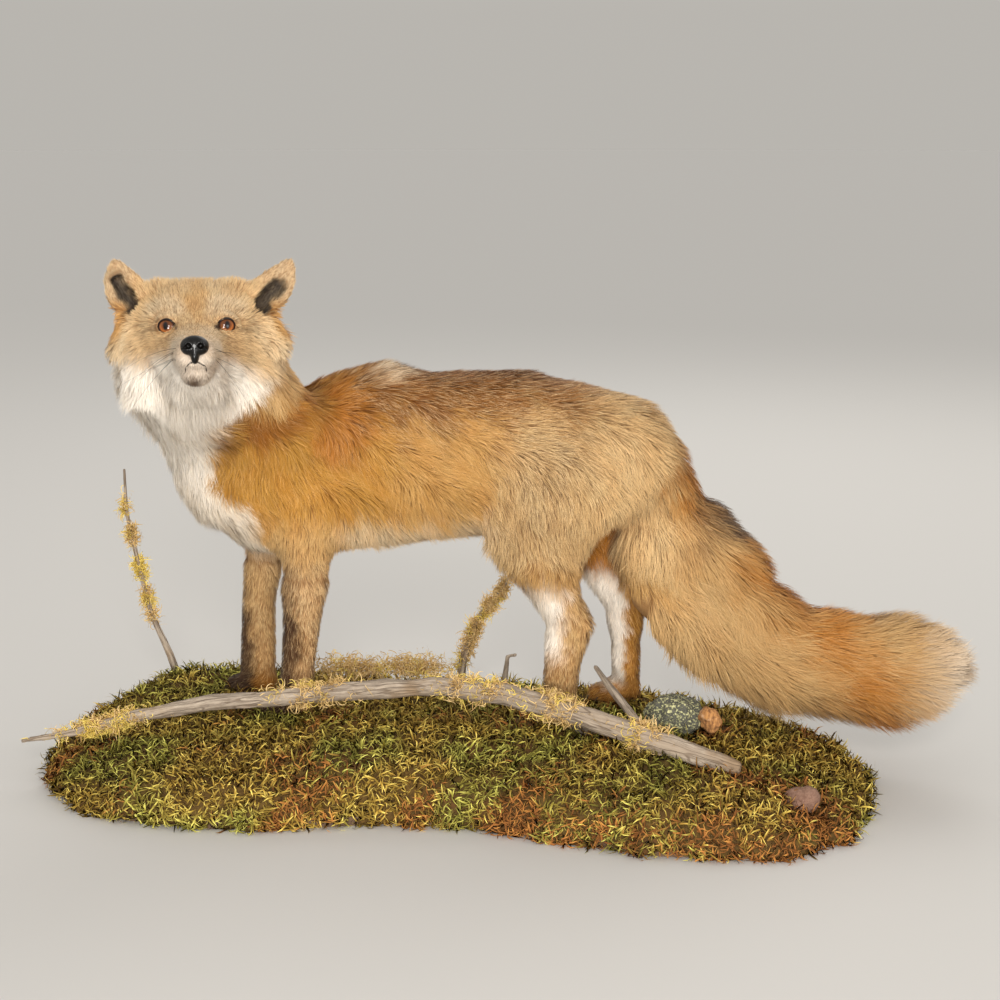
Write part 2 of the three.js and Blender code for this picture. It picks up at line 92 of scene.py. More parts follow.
world = bpy.data.worlds.new("studio")
bpy.context.scene.world = world
world.use_nodes = True
nodes, links = world.node_tree.nodes, world.node_tree.links
direction = nodes.new("ShaderNodeTexCoord")
height = nodes.new("ShaderNodeSeparateXYZ")
sky = nodes.new("ShaderNodeValToRGB")
for element, (position, colour) in zip(sky.color_ramp.elements, SKY):
    element.position = position
    element.color = colour
links.new(direction.outputs["Generated"], height.inputs[0])
links.new(height.outputs["Z"], sky.inputs[0])
links.new(sky.outputs[0], nodes["Background"].inputs["Color"])
print("sky of", len(SKY), "colours")

# %% The lamps
LAMPS = (  # name, place, size in metres, power, tint, and whether it spares the floor
    ("key", (0.3, -2.5, 1.42), 0.6, 32, (1, 0.97, 0.93), False),
    ("fill", (1.9, -2, 0.9), 1.4, 23, (1, 0.98, 0.96), True),
    ("low", (0, -2.4, 0.4), 0.5, 33, (1, 0.98, 0.96), True),
    ("rim", (0.5, 2, 2.2), 1.8, 20, (1, 0.98, 0.95), False),
)
LAMPS_AIM = Vector((0.0, 0.0, 0.3))


def hang_lamp(name, place, size, power, tint, spares_floor):
    """A round area lamp, turned towards the model."""
    lamp = bpy.data.lights.new(name, "AREA")
    lamp.shape = "DISK"
    lamp.size = size
    lamp.energy = power
    lamp.color = tint
    light = bpy.data.objects.new(name, lamp)
    light.location = place
    aim = LAMPS_AIM - Vector(place)
    light.rotation_euler = aim.to_track_quat("-Z", "Y").to_euler()
    bpy.context.scene.collection.objects.link(light)
    if spares_floor:
        spared = bpy.data.collections.new(f"floor_spared_by_{name}")
        spared.objects.link(floor)
        spared.collection_objects[0].light_linking.link_state = "EXCLUDE"
        light.light_linking.receiver_collection = spared


for lamp_row in LAMPS:
    hang_lamp(*lamp_row)
print(len(LAMPS), "lamps,", sum(row[3] for row in LAMPS), "watts")

# %% The camera
CAMERA_TARGET = Vector((0.045, 0.035, 0.29))
CAMERA_AZIMUTH = math.radians(5)
CAMERA_HEIGHT = math.radians(12.5)
CAMERA_DISTANCE = 1.8
FOCAL_LENGTH = 61.69  # in mm, on a sensor as wide as SENSOR_WIDTH
SENSOR_WIDTH = 36

back = Vector((
    math.sin(CAMERA_AZIMUTH) * math.cos(CAMERA_HEIGHT),
    -math.cos(CAMERA_AZIMUTH) * math.cos(CAMERA_HEIGHT),
    math.sin(CAMERA_HEIGHT),
))
lens = bpy.data.cameras.new("camera")
lens.lens = FOCAL_LENGTH
lens.sensor_width = SENSOR_WIDTH
camera = bpy.data.objects.new("camera", lens)
camera.location = CAMERA_TARGET + back * CAMERA_DISTANCE
camera.rotation_euler = (-back).to_track_quat("-Z", "Y").to_euler()
bpy.context.scene.collection.objects.link(camera)
bpy.context.scene.camera = camera
bpy.context.scene.view_settings.view_transform = "Standard"
print("camera at", [round(v, 3) for v in camera.location])

# %% [markdown]
# ## Small tools for shapes
#
# Long lists of points are kept as NumPy arrays, because three hundred thousand tufts can't
# be placed one by one. A few helpers are used all through: a smooth step from 0 to 1, unit
# vectors, and waves, which stand in for slow noise. A sum of sines in random directions
# costs far less than true noise and is smooth enough for markings and for parted hair.

# %% Number helpers
def ramp(value, low, high):
    """0 at low, 1 at high, and an even, smooth climb between them."""
    t = np.clip((np.asarray(value, np.float32) - low) / (high - low), 0, 1)
    return t * t * (3 - 2 * t)


def unit(vectors):
    """The same directions at length 1."""
    length = norm(vectors, axis=-1, keepdims=True)
    return vectors / np.maximum(length, 1e-9)


SINES = 7  # in every sum of waves


def waves(points, size, seed):
    """Slow noise around 0, mostly within 1 each way, with bumps about `size` mm apart."""
    draw = np.random.default_rng(seed)
    total = np.zeros(points.shape[:-1], np.float32)
    for _ in range(SINES):
        across = unit(draw.normal(size=3)) * draw.uniform(0.6, 1.5) * 2 * math.pi / size
        total += np.sin(points @ across.astype(np.float32) + draw.uniform(0, 6.28))
    return total / math.sqrt(SINES) * 1.2


def blob(points, centre, radii, soft=0.35):
    """1 inside an ellipsoid and 0 outside it, fading over `soft` of its radii."""
    reach = norm((points - np.asarray(centre)) / np.asarray(radii), axis=-1)
    return 1 - ramp(reach, 1 - soft, 1 + soft)


print("a quarter of the way up a ramp:", ramp(0.25, 0, 1))

# %% Reading the CAD nodes
def cad_mesh(name):
    """A CAD node's corners in mm, and its triangles."""
    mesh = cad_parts[name].data
    mesh.calc_loop_triangles()
    corners = np.empty(len(mesh.vertices) * 3, np.float32)
    mesh.vertices.foreach_get("co", corners)
    triangles = np.empty(len(mesh.loop_triangles) * 3, np.int32)
    mesh.loop_triangles.foreach_get("vertices", triangles)
    return corners.reshape(-1, 3) / MM, triangles.reshape(-1, 3).astype(np.uint32)


def cad_box_mm(name):
    """Lowest corner, highest corner and middle of a CAD node, in mm."""
    low, high = (np.array(corner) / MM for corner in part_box(name))
    return low, high, (low + high) / 2


print(len(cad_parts), "CAD nodes, the moss up to", cad_box_mm("base_moss")[1].round())

# %% Mesh helpers
def new_piece(name, corners, faces, material, slot, tips=None):
    """A mesh object: corners in mm, faces of one kind, and perhaps triangles."""
    faces = np.asarray(faces, np.int32)
    loops = faces.ravel()
    firsts = np.arange(len(faces)) * faces.shape[1]
    if tips is not None:
        firsts = np.concatenate([firsts, faces.size + np.arange(len(tips)) * 3])
        loops = np.concatenate([loops, tips.ravel()]).astype(np.int32)
    mesh = bpy.data.meshes.new(name)
    mesh.vertices.add(len(corners))
    mesh.vertices.foreach_set("co", (np.asarray(corners, np.float32) * MM).ravel())
    mesh.loops.add(len(loops))
    mesh.loops.foreach_set("vertex_index", loops)
    mesh.polygons.add(len(firsts))
    mesh.polygons.foreach_set("loop_start", firsts.astype(np.int32))
    mesh.polygons.foreach_set("use_smooth", np.ones(len(firsts), bool))
    mesh.update(calc_edges=True)
    mesh.materials.append(material)
    piece = bpy.data.objects.new(name, mesh)
    bpy.context.scene.collection.objects.link(piece)
    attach(piece, "root")
    print(name, len(firsts), "faces")
    return piece


def note(piece, name, values):
    """Keeps a number or a vector for each corner of a piece, for its material."""
    values = np.asarray(values, np.float32)
    kind, field = ("FLOAT", "value") if values.ndim == 1 else ("FLOAT_VECTOR", "vector")
    kept = piece.data.attributes.new(name, kind, "POINT")
    kept.data.foreach_set(field, values.ravel())

# %% [markdown]
# ## Forms as fields
#
# A taxidermist models the body in clay and stretches one skin over it. The clay here is a
# field: a grid of numbers that says how far each point lies outside (above 0) or inside
# (below 0) the form. Fields join and carve with smooth seams, which meshes don't, so the
# lids, lips and toes melt into the skin. The surface is drawn out as a mesh at the end.

# %% Fields on a grid
NODE_GAP = 0.4  # the thin cuts between CAD nodes close when they grow by this much


class Clay:
    """A grid over a box, with the tools that make and shape fields on it."""

    def __init__(self, low, high, step):
        self.step = step
        self.first = np.floor(np.asarray(low) / step).astype(int)
        last = np.ceil(np.asarray(high) / step).astype(int)
        self.shape = tuple(int(n) for n in last - self.first + 1)

    def points(self):
        """The place of every grid point, in mm."""
        lines = [
            ((np.arange(n) + first) * self.step).astype(np.float32)
            for n, first in zip(self.shape, self.first)
        ]
        return np.stack(np.meshgrid(*lines, indexing="ij"), axis=-1)

    def window(self, middle, half):
        """The slices of the grid within `half` mm of a point, each way."""
        near = (np.asarray(middle) - half) / self.step - self.first
        far = (np.asarray(middle) + half) / self.step - self.first
        return tuple(
            slice(max(int(start), 0), min(int(end), size))
            for start, end, size in zip(near, far, self.shape)
        )

    def from_mesh(self, corners, triangles, reach):
        """The field of a closed mesh, true up to `reach` mm from its surface."""
        grid = openvdb.FloatGrid.createLevelSetFromPolygons(
            np.ascontiguousarray(corners, np.float32),
            triangles=np.ascontiguousarray(triangles, np.uint32),
            transform=openvdb.createLinearTransform(voxelSize=self.step),
            halfWidth=reach / self.step,
        )
        values = np.empty(self.shape, np.float32)
        grid.copyToArray(values, ijk=tuple(int(i) for i in self.first))
        return values

    def from_nodes(self, names, reach):
        """The field of CAD nodes as one body, with the thin cuts between them closed."""
        joined = None
        for name in names:
            values = self.from_mesh(*cad_mesh(name), reach)
            joined = values if joined is None else np.minimum(joined, values)
        corners, quads = self.surface(joined, NODE_GAP)
        halves = np.concatenate([quads[:, [0, 1, 2]], quads[:, [0, 2, 3]]])
        return self.from_mesh(corners, halves, reach) + NODE_GAP

    def surface(self, values, level=0.0):
        """Corners and four-sided faces of the surface at one level of a field."""
        grid = openvdb.FloatGrid(float(values.max()))
        grid.copyFromArray(
            np.ascontiguousarray(values, np.float32), ijk=tuple(int(i) for i in self.first)
        )
        grid.transform = openvdb.createLinearTransform(voxelSize=self.step)
        corners, _, quads = grid.convertToPolygons(isovalue=level)
        return corners, quads


print("1 cm cubed on a 2 mm grid:", Clay((0, 0, 0), (10, 10, 10), 2).shape)

# %% Shaping a field
def soften(values, passes):
    """A field with its creases rubbed away."""
    for _ in range(passes):
        for axis in range(3):
            before = np.roll(values, 1, axis)
            after = np.roll(values, -1, axis)
            values = 0.25 * before + 0.5 * values + 0.25 * after
    return values


def join(a, b, blend):
    """Two fields as one, with a fillet of about `blend` mm."""
    share = np.clip(0.5 + 0.5 * (b - a) / blend, 0, 1)
    return b + (a - b) * share - blend * share * (1 - share)


def carve(a, b, blend):
    """The first field with the second taken out of it."""
    return -join(-a, b, blend)


def ball(points, centre, radii):
    """The field of an ellipsoid, true near its surface."""
    radii = np.asarray(radii, np.float32)
    scaled = (points - np.asarray(centre, np.float32)) / radii
    reach = norm(scaled, axis=-1)
    slope = norm(scaled / radii, axis=-1)
    return reach * (reach - 1) / np.maximum(slope, 1e-6)


def bar(points, start, end, radius):
    """The field of a round bar from start to end."""
    start, end = np.asarray(start, np.float32), np.asarray(end, np.float32)
    along = end - start
    share = np.clip((points - start) @ along / (along @ along), 0, 1)
    return norm(points - start - share[..., None] * along, axis=-1) - radius


print("in the middle of a bar:", bar(np.zeros(3), (0, 0, 0), (1, 0, 0), 5))

# %% [markdown]
# ## The head's own axes
#
# The head is turned and lifted, so its details are placed on axes of its own: forward
# from between the eyes, out to the animal's left, and up to the crown. The two glass eyes
# and the nose are CAD nodes, and their middles fix these axes exactly.

# %% Head axes
EYE_BACK = 7     # the eyes' middles lie this far behind the brow point
NOSE_AHEAD = 76  # the nose's middle from the eyes' middles, forward and down
NOSE_DOWN = 25

eye_right, eye_left, nose_tip = (
    cad_box_mm(name)[2] for name in ("fox_eye_right", "fox_eye_left", "fox_nose")
)
LEFT = unit(eye_left - eye_right)
to_nose = unit(nose_tip - (eye_left + eye_right) / 2)
to_crown = np.cross(to_nose, LEFT)
drop = math.atan2(NOSE_DOWN, NOSE_AHEAD)
FORWARD = math.cos(drop) * to_nose + math.sin(drop) * to_crown
CROWN = np.cross(FORWARD, LEFT)
BROW = (eye_left + eye_right) / 2 + EYE_BACK * FORWARD
HEAD_AXES = np.stack([FORWARD, LEFT, CROWN]).astype(np.float32)


def head_place(forward, left, crown):
    """A point given on the head's axes, in the model's frame."""
    return BROW + forward * FORWARD + left * LEFT + crown * CROWN


def head_way(forward, left, crown):
    """A direction given on the head's axes, in the model's frame."""
    return unit(forward * FORWARD + left * LEFT + crown * CROWN)


def on_head(points):
    """Points of the model's frame, given on the head's axes."""
    return (points - BROW.astype(np.float32)) @ HEAD_AXES.T


print("brow", BROW.round(1), "forward", FORWARD.round(3))

# %% [markdown]
# ## The groom
#
# On the bench the mounter combs the fox part by part. Hair could be combed by hand in
# Blender too, but a table can be read, corrected in one line and repeated exactly. Each
# stroke of this comb has a place on the coat, the way the hair lies there, the length of
# the hair and how thick the coat stands off the skin. Between the strokes the coat takes
# a blend of its neighbours, nearest first. The same table tells how deep the skin lies
# under the solids, so that combed hair fills them, and only odd tips pass them.

# %% Strokes of the comb
SPINE = 45  # the animal's mid-plane, in mm along y


def face(forward, left, crown, way, length, depth):
    """A stroke on the head, on both sides where it isn't in the middle."""
    hands = (1,) if left == 0 else (1, -1)
    return [
        (head_place(forward, hand * left, crown),
         head_way(way[0], hand * way[1], way[2]), length, depth)
        for hand in hands
    ]


def one(x, y, z, way, length, depth):
    """A single stroke on the trunk, a leg or the tail."""
    return [(np.array([x, y, z], float), unit(np.array(way, float)), length, depth)]


def both(x, y, z, way, length, depth):
    """A stroke on the left side of the trunk and its like on the right."""
    left = one(x, y, z, way, length, depth)
    return left + one(x, 2 * SPINE - y, z, (way[0], -way[1], way[2]), length, depth)


print("a stroke:", one(0, 0, 0, (1, 0, 0), 30, 12))

# %% Places on the ears
EAR_ROOT = (-34, 62, 22)  # forward, out to the side and up, on the head's axes
EARS = ((-1, 62, 0.86), (1, 48, 0.96))  # hand, splay in degrees, reach


def ear_way(hand, splay):
    """The way an ear points, out from its root to its tip."""
    tilt = math.radians(splay)
    return head_way(0.12, hand * math.cos(tilt), math.sin(tilt))


def ear_place(hand, splay, reach, out, ahead):
    """A point of an ear: so far out along it, and so far ahead of its root."""
    tilt = math.radians(splay)
    return head_place(
        EAR_ROOT[0] + ahead + 0.12 * out,
        hand * (EAR_ROOT[1] + reach * out * math.cos(tilt)),
        EAR_ROOT[2] + reach * out * math.sin(tilt),
    )


print("the ears point", *(ear_way(*ear[:2]).round(2) for ear in EARS))

# %% Strokes on the head
STROKES = {}
STROKES["face"] = [
    *face(66, 0, -13, (-1, 0, 0.3), 2.5, 0.8),        # behind the nose
    *face(64, 9, -36, (-0.5, 0.5, -0.8), 3, 1),       # front of the lips
    *face(48, 0, -9, (-1, 0, 0.2), 3, 1),             # bridge of the nose
    *face(28, 0, -4, (-1, 0, 0.2), 3.5, 1.2),
    *face(46, 20, -28, (-1, 0.25, -0.1), 4, 1.5),     # side of the muzzle
    *face(50, 14, -42, (-0.8, 0.3, -0.5), 4.5, 1.5),  # lips
    *face(28, 24, -24, (-1, 0.4, 0), 5, 1.8),
    *face(26, 22, -44, (-0.9, 0.4, -0.5), 6.5, 2.5),
    *face(9, 0, 6, (-0.9, 0, 0.5), 5, 1.8),           # between the eyes
    *face(6, 12, 4, (-0.6, -0.1, 0.8), 4.5, 1.5),     # inner corner of the eye
    *face(8, 27, -14, (-0.6, 0.6, -0.4), 5.5, 2),     # below the eye
    *face(-2, 42, -3, (-0.5, 0.8, 0), 7, 3),          # outer corner of the eye
    *face(0, 26, 14, (-0.5, 0.2, 0.9), 5, 2),         # above the eye
    *face(-10, 0, 28, (-0.7, 0, 0.7), 8, 3.5),        # forehead
    *face(-14, 24, 30, (-0.6, 0.15, 0.8), 8, 3.5),
    *face(2, 40, -34, (-0.5, 0.75, -0.5), 11, 5),     # under the cheekbone
]
STROKES["chin"] = [
    *face(60, 0, -47, (-0.5, 0, -1), 5, 1.5),
    *face(44, 0, -53, (-0.8, 0, -0.6), 8, 3),
    *face(30, 0, -60, (-0.8, 0, -0.7), 14, 5.5),
    *face(14, 18, -66, (-0.7, 0.1, -0.8), 24, 9),
    *face(-10, 0, -84, (-0.7, 0, -0.9), 34, 13),
    *face(-10, 30, -76, (-0.6, 0.1, -1), 36, 13),
    *face(-40, 22, -102, (-0.7, 0, -1), 40, 16),
]
STROKES["ears"] = [
    stroke
    for hand, splay, reach in EARS
    for out in (6, 20, 34, 48)
    for ahead in (-14, 2)
    for stroke in one(
        *ear_place(hand, splay, reach, out, ahead), ear_way(hand, splay), 6, 1.2
    )
]
STROKES["crown"] = [
    *face(-34, 0, 46, (-0.9, 0, 0.4), 12, 6),
    *face(-38, 30, 44, (-0.7, 0.1, 0.6), 12, 6),
    *face(-62, 0, 50, (-1, 0, 0), 18, 9),
    *face(-66, 40, 34, (-1, 0.3, -0.1), 20, 10),
    *face(-88, 0, 20, (-0.8, 0, -0.6), 26, 13),
]
STROKES["cheeks"] = [
    *face(-14, 50, 18, (-0.4, 0.6, 0.6), 12, 6),
    *face(-16, 56, -8, (-0.5, 0.5, -0.5), 13, 6),
    *face(-40, 74, 12, (-0.6, 0.2, -0.8), 11, 4),
    *face(-36, 78, -20, (-0.6, 0.2, -0.8), 18, 8),
    *face(-14, 58, -40, (-0.4, 0.35, -0.9), 24, 10),
    *face(-8, 44, -56, (-0.3, 0.2, -1), 34, 12),
    *face(-36, 70, -56, (-0.4, 0.2, -1), 38, 13),
    *face(-66, 76, -30, (-0.9, 0.1, -0.5), 26, 12),
]
print("combed:", *STROKES)

# %% Strokes on the neck and trunk
STROKES["ruff"] = [
    *one(-345, -30, 440, (0.05, -0.15, -1), 36, 18),  # under the chin
    *one(-340, -60, 428, (0.1, -0.1, -1), 38, 19),
    *one(-340, 10, 420, (0.1, 0.1, -1), 38, 19),
    *one(-338, 8, 385, (0.12, 0, -1), 42, 20),
    *one(-318, 38, 340, (0.2, 0, -1), 42, 20),
    *one(-290, -92, 440, (0.7, -0.1, -0.75), 42, 21),  # below the left cheek
    *one(-235, -84, 440, (0.9, 0, -0.45), 42, 20),
    *one(-300, 62, 440, (0.6, 0.3, -0.8), 42, 21),    # below the right cheek
    *one(-215, 48, 450, (0.95, 0.2, -0.4), 40, 19),
    *one(-185, -25, 480, (0.95, 0.2, -0.4), 34, 16),  # nape
    *one(-300, -48, 380, (0.4, 0, -0.95), 42, 20),
    *one(-290, 92, 380, (0.4, 0, -0.95), 42, 20),
]
STROKES["breast"] = [
    *one(-290, 44, 285, (0.4, 0, -1), 38, 18),
    *one(-255, 44, 245, (0.8, 0, -0.6), 36, 17),
    *one(-190, 45, 232, (0.95, 0, -0.3), 30, 14),
    *one(-270, -22, 320, (0.45, 0, -0.9), 34, 16),
    *one(-270, 110, 320, (0.45, 0, -0.9), 34, 16),
    *one(-225, -52, 385, (0.75, 0.05, -0.65), 38, 18),
    *one(-225, 100, 385, (0.75, 0, -0.65), 38, 18),
]
STROKES["shoulders"] = [
    *one(-160, 25, 432, (1, 0.1, -0.25), 34, 15),
    *both(-165, -22, 390, (0.85, 0, -0.5), 32, 14),
    *both(-190, -22, 335, (0.4, 0, -1), 28, 12),
    *both(-130, -24, 350, (0.6, 0, -0.8), 29, 12),
    *both(-165, -22, 285, (0.12, 0, -1), 23, 10),
    *both(-190, 0, 250, (0.05, 0, -1), 19, 8),
    *both(-145, -15, 245, (0.12, 0, -1), 19, 8),
]
STROKES["back"] = [
    *one(-110, 45, 432, (1, 0, -0.05), 32, 13),
    *one(-30, 45, 430, (1, 0, 0), 30, 12),
    *one(60, 45, 430, (1, 0, 0), 31, 12),
    *one(140, 45, 415, (1, 0, -0.1), 33, 13),
    *both(-80, 2, 420, (1, 0, -0.2), 31, 13),
    *both(20, 2, 420, (1, 0, -0.15), 31, 12),
    *both(110, 0, 410, (1, 0, -0.15), 32, 13),
]
STROKES["flanks"] = [
    *both(-90, -24, 380, (0.9, 0, -0.45), 32, 13),
    *both(0, -22, 385, (1, 0, -0.3), 32, 13),
    *both(-80, -24, 325, (0.7, 0, -0.7), 32, 13),
    *both(10, -22, 335, (0.85, 0, -0.5), 33, 13),
    *both(-90, -18, 270, (0.4, 0.1, -0.9), 34, 15),
    *both(-20, -16, 275, (0.45, 0.1, -0.9), 36, 16),
    *both(45, -12, 285, (0.5, 0.1, -0.85), 36, 16),
    *one(-90, 45, 230, (0.9, 0, -0.4), 32, 15),
    *one(0, 45, 240, (0.9, 0, -0.4), 34, 16),
    *one(70, 45, 255, (0.8, 0, -0.5), 32, 15),
]
STROKES["hips"] = [
    *one(210, 45, 392, (0.7, 0, -0.75), 36, 16),
    *both(80, -24, 375, (1, 0, -0.3), 31, 13),
    *both(150, -24, 370, (0.85, 0, -0.55), 31, 13),
    *both(200, -5, 350, (0.45, 0, -0.9), 34, 14),
    *both(60, -32, 320, (0.3, 0, -0.95), 28, 12),
    *both(115, -34, 325, (0.5, 0, -0.85), 29, 12),
    *both(170, -30, 315, (0.25, 0, -0.95), 30, 13),
]
print("combed:", *STROKES)

# %% Strokes on the legs and tail
STROKES["forelegs"] = [
    *one(-157, 8, 225, (0.03, 0, -1), 15, 6),
    *one(-158, 7, 190, (0, 0, -1), 12, 4.5),
    *one(-165, 8, 140, (-0.02, 0, -1), 9, 3.5),
    *one(-172, 12, 95, (-0.15, 0, -1), 8, 3.2),
    *one(-212, 80, 225, (0, 0, -1), 15, 6),
    *one(-220, 80, 190, (-0.02, 0, -1), 12, 4.5),
    *one(-227, 81, 140, (-0.03, 0, -1), 9, 3.5),
    *one(-230, 84, 95, (-0.15, 0, -1), 8, 3.2),
    *one(-185, 17, 75, (-1, 0, -0.4), 6, 2.2),
    *one(-242, 85, 75, (-1, 0, -0.4), 6, 2.2),
]
STROKES["hindlegs"] = [
    *one(80, -30, 275, (0.2, 0, -1), 26, 11),
    *one(140, -26, 275, (-0.1, 0, -1), 26, 12),
    *one(90, -18, 225, (0.25, 0, -1), 18, 8),
    *one(122, 3, 175, (0.1, 0, -1), 14, 5.5),
    *one(113, 4, 130, (-0.05, 0, -1), 10, 3.6),
    *one(110, 14, 92, (-0.15, 0, -1), 8, 3.2),
    *one(130, 125, 275, (0.2, 0, -1), 24, 10),
    *one(150, 95, 225, (0.25, 0, -1), 17, 7),
    *one(178, 87, 175, (0.1, 0, -1), 14, 5),
    *one(178, 87, 130, (0, 0, -1), 10, 3.6),
    *one(180, 89, 92, (-0.15, 0, -1), 8, 3.2),
    *one(98, 21, 75, (-1, 0, -0.4), 6, 2.2),
    *one(164, 91, 75, (-1, 0, -0.4), 6, 2.2),
]
STROKES["tail"] = [
    *one(200, 45, 345, (0.25, 0, -1), 38, 17),
    *one(214, 45, 270, (0.3, 0, -0.95), 46, 24),
    *one(245, 43, 213, (0.6, 0, -0.8), 52, 28),
    *one(281, 40, 171, (0.75, 0, -0.65), 56, 30),
]
STROKES["brush"] = [
    *one(337, 37, 133, (0.92, 0, -0.38), 56, 30),
    *one(404, 34, 119, (1, 0, -0.12), 54, 28),
    *one(453, 31, 117, (1, 0, -0.02), 54, 30),
    *one(497, 29, 118, (1, 0, -0.05), 50, 29),
    *one(530, 28, 108, (1, 0, -0.1), 44, 30),
]
print(sum(map(len, STROKES.values())), "strokes in", len(STROKES), "stretches of coat")

# %% Between the strokes
POINTS_AT_ONCE = 200000
STROKE_REACH = 6  # in mm, how far a stroke is followed to the letter

stroke_piece = [name for name, strokes in STROKES.items() for _ in strokes]
stroke_rows = [stroke for strokes in STROKES.values() for stroke in strokes]
stroke_place = np.array([row[0] for row in stroke_rows], np.float32)
stroke_values = np.array([[*row[1], row[2], row[3]] for row in stroke_rows], np.float32)


def comb(points):
    """Way of the hair, its length, the coat's thickness and the nearest stroke."""
    flat = points.reshape(-1, 3)
    out = np.empty((len(flat), 5), np.float32)
    nearest = np.empty(len(flat), np.int32)
    for start in range(0, len(flat), POINTS_AT_ONCE):
        few = slice(start, start + POINTS_AT_ONCE)
        some = flat[few]
        apart = (
            (some ** 2).sum(1)[:, None] + (stroke_place ** 2).sum(1) - 2 * some @ stroke_place.T
        )
        share = 1 / (np.maximum(apart, 0) + STROKE_REACH ** 2) ** 2
        nearest[few] = share.argmax(1)
        out[few] = (share @ stroke_values) / share.sum(1, keepdims=True)
    shape = points.shape[:-1]
    return (out[:, :3].reshape(*shape, 3), out[:, 3].reshape(shape),
            out[:, 4].reshape(shape), nearest.reshape(shape))


def coat_depth(points, values, reach):
    """The coat's thickness wherever a field is near its surface, and 0 elsewhere."""
    depth = np.zeros(values.shape, np.float32)
    near = (values < 3) & (values > -reach)
    depth[near] = comb(points[near])[2]
    return depth


print("hair on the breast is", comb(np.array([-290.0, 44.0, 285.0]))[1].round(), "mm long")

# %% [markdown]
# ## The skin
#
# On the real mount the tanned skin is drawn over the form with no seam in sight. One mesh
# would need the head's fine grid everywhere, so the skin is drawn out of three clays: a
# coarse one for trunk and tail, a finer one for the lower legs, and the finest for the
# head. They overlap under long fur, and together they are one object.

# %% The trunk and tail
TRUNK_GRID = 4.6
SKIN_REACH = 46  # how deep the fields are true, in mm
LEG_TOP = 213    # below this height the legs have a finer clay of their own

SIDES = ("left", "right")
UPPER_LEGS = tuple(f"fox_{leg}_{side}_upper" for leg in ("foreleg", "hindleg") for side in SIDES)
LOWER_LEGS = tuple(name.replace("upper", "lower") for name in UPPER_LEGS)
PAWS = tuple(f"fox_{paw}_{side}" for paw in ("forepaw", "hindpaw") for side in SIDES)
TAIL = ("fox_tail_root", "fox_tail_middle", "fox_tail_tip")
TRUNK = ("fox_neck", "fox_trunk_front", "fox_trunk_rear", *UPPER_LEGS, *TAIL)
HEAD = ("fox_head", "fox_lower_jaw", "fox_ear_left", "fox_ear_right")


def clay_over(nodes, step, below=5.0, highest=1e9):
    """An empty clay big enough for some CAD nodes, up to a height."""
    boxes = [cad_box_mm(name) for name in nodes]
    low = np.min([box[0] for box in boxes], axis=0) - (5, 5, below)
    high = np.max([box[1] for box in boxes], axis=0) + 5
    return Clay(low, (*high[:2], min(high[2], highest)), step)


def trunk_skin():
    """Neck, trunk, thighs and tail."""
    clay = clay_over(TRUNK, TRUNK_GRID)
    places = clay.points()
    form = clay.from_nodes(TRUNK, SKIN_REACH)
    skin = form + coat_depth(places, form, SKIN_REACH)
    skin -= 10 * blob(places, (288, 42, 262), (56, 60, 40))  # the crest of the tail
    skin += 8 * blob(places, (218, 42, 392), (26, 60, 30))   # the end of the croup
    skin -= 5 * blob(places, (-304, 30, 298), (44, 90, 54))  # the fullest of the breast
    return clay.surface(soften(skin, 3))


trunk_corners, trunk_quads = trunk_skin()
print("trunk skin", len(trunk_quads), "faces")

# %% [markdown]
# ### Lower legs and paws
#
# A fox's foot has four toes in front, two of them ahead, with a short claw on each. Each
# toe could be cut from a box and smoothed, but clay is quicker: the CAD paw gives the
# outline, egg shapes melted into it make the toes, and thin bars press the folds between.

# %% Lower legs and paws
LEG_GRID = 2.6
LEG_REACH = 24
TOES = ((46, -5.2), (46, 5.2), (36, -12.5), (36, 12.5))  # ahead of the heel, sideways
TOE_RADII = (11.5, 6.3, 8)
TOE_HEIGHT = 8.5
FOLDS_ASIDE = (-10, 0, 10)
paw_heels = {
    name: (cad_box_mm(name)[1][0], cad_box_mm(name)[2][1], cad_box_mm(name)[0][2])
    for name in PAWS
}


def toe_place(paw, ahead, aside, height):
    """A point of a paw, from its heel on the ground."""
    heel, middle, ground = paw_heels[paw]
    return np.array([heel - ahead, middle + aside, ground + height])


def leg_skin():
    """The four lower legs with their toes."""
    nodes = UPPER_LEGS + LOWER_LEGS + PAWS
    clay = clay_over(nodes, LEG_GRID, highest=LEG_TOP + 18.0)
    places = clay.points()
    form = clay.from_nodes(nodes, LEG_REACH)
    skin = soften(form + coat_depth(places, form, LEG_REACH), 2)
    for paw in PAWS:
        for ahead, aside in TOES:
            toe = ball(places, toe_place(paw, ahead, aside, TOE_HEIGHT), TOE_RADII)
            skin = join(skin, toe, 2.5)
        for aside in FOLDS_ASIDE:
            start = toe_place(paw, 40, aside, 16)
            end = toe_place(paw, 60, aside, 4)
            skin = carve(skin, bar(places, start, end, 1.2), 2.5)
    return clay.surface(skin)


leg_corners, leg_quads = leg_skin()
print("leg skin", len(leg_quads), "faces")

# %% [markdown]
# ### Head
#
# The head decides whether the mount looks alive, so its clay has the finest grid. Fur is
# only a millimetre or two deep on the face, which leaves the true lines of the skull:
# sockets with lids round the glass, a bridge that falls off to both sides, whisker pads
# with the furrow between them, and lips that close over a slightly fuller jaw. Brushes in
# sculpt mode could draw all this, but a field of simple forms is the same on every run.

# %% Sculpt the eyes
EYE_RADIUS = 11
EYE_OUTWARD = 0.3   # how far the eyes turn outwards, as a slope
EYE_UPWARD = 0.04
SLIT_WIDE = 8.8     # half the opening between the corners of the lids
SLIT_HIGH = 6.6
LID_THICK = 1.5
INNER_CORNER = 1.2  # the slit is this much longer towards the nose


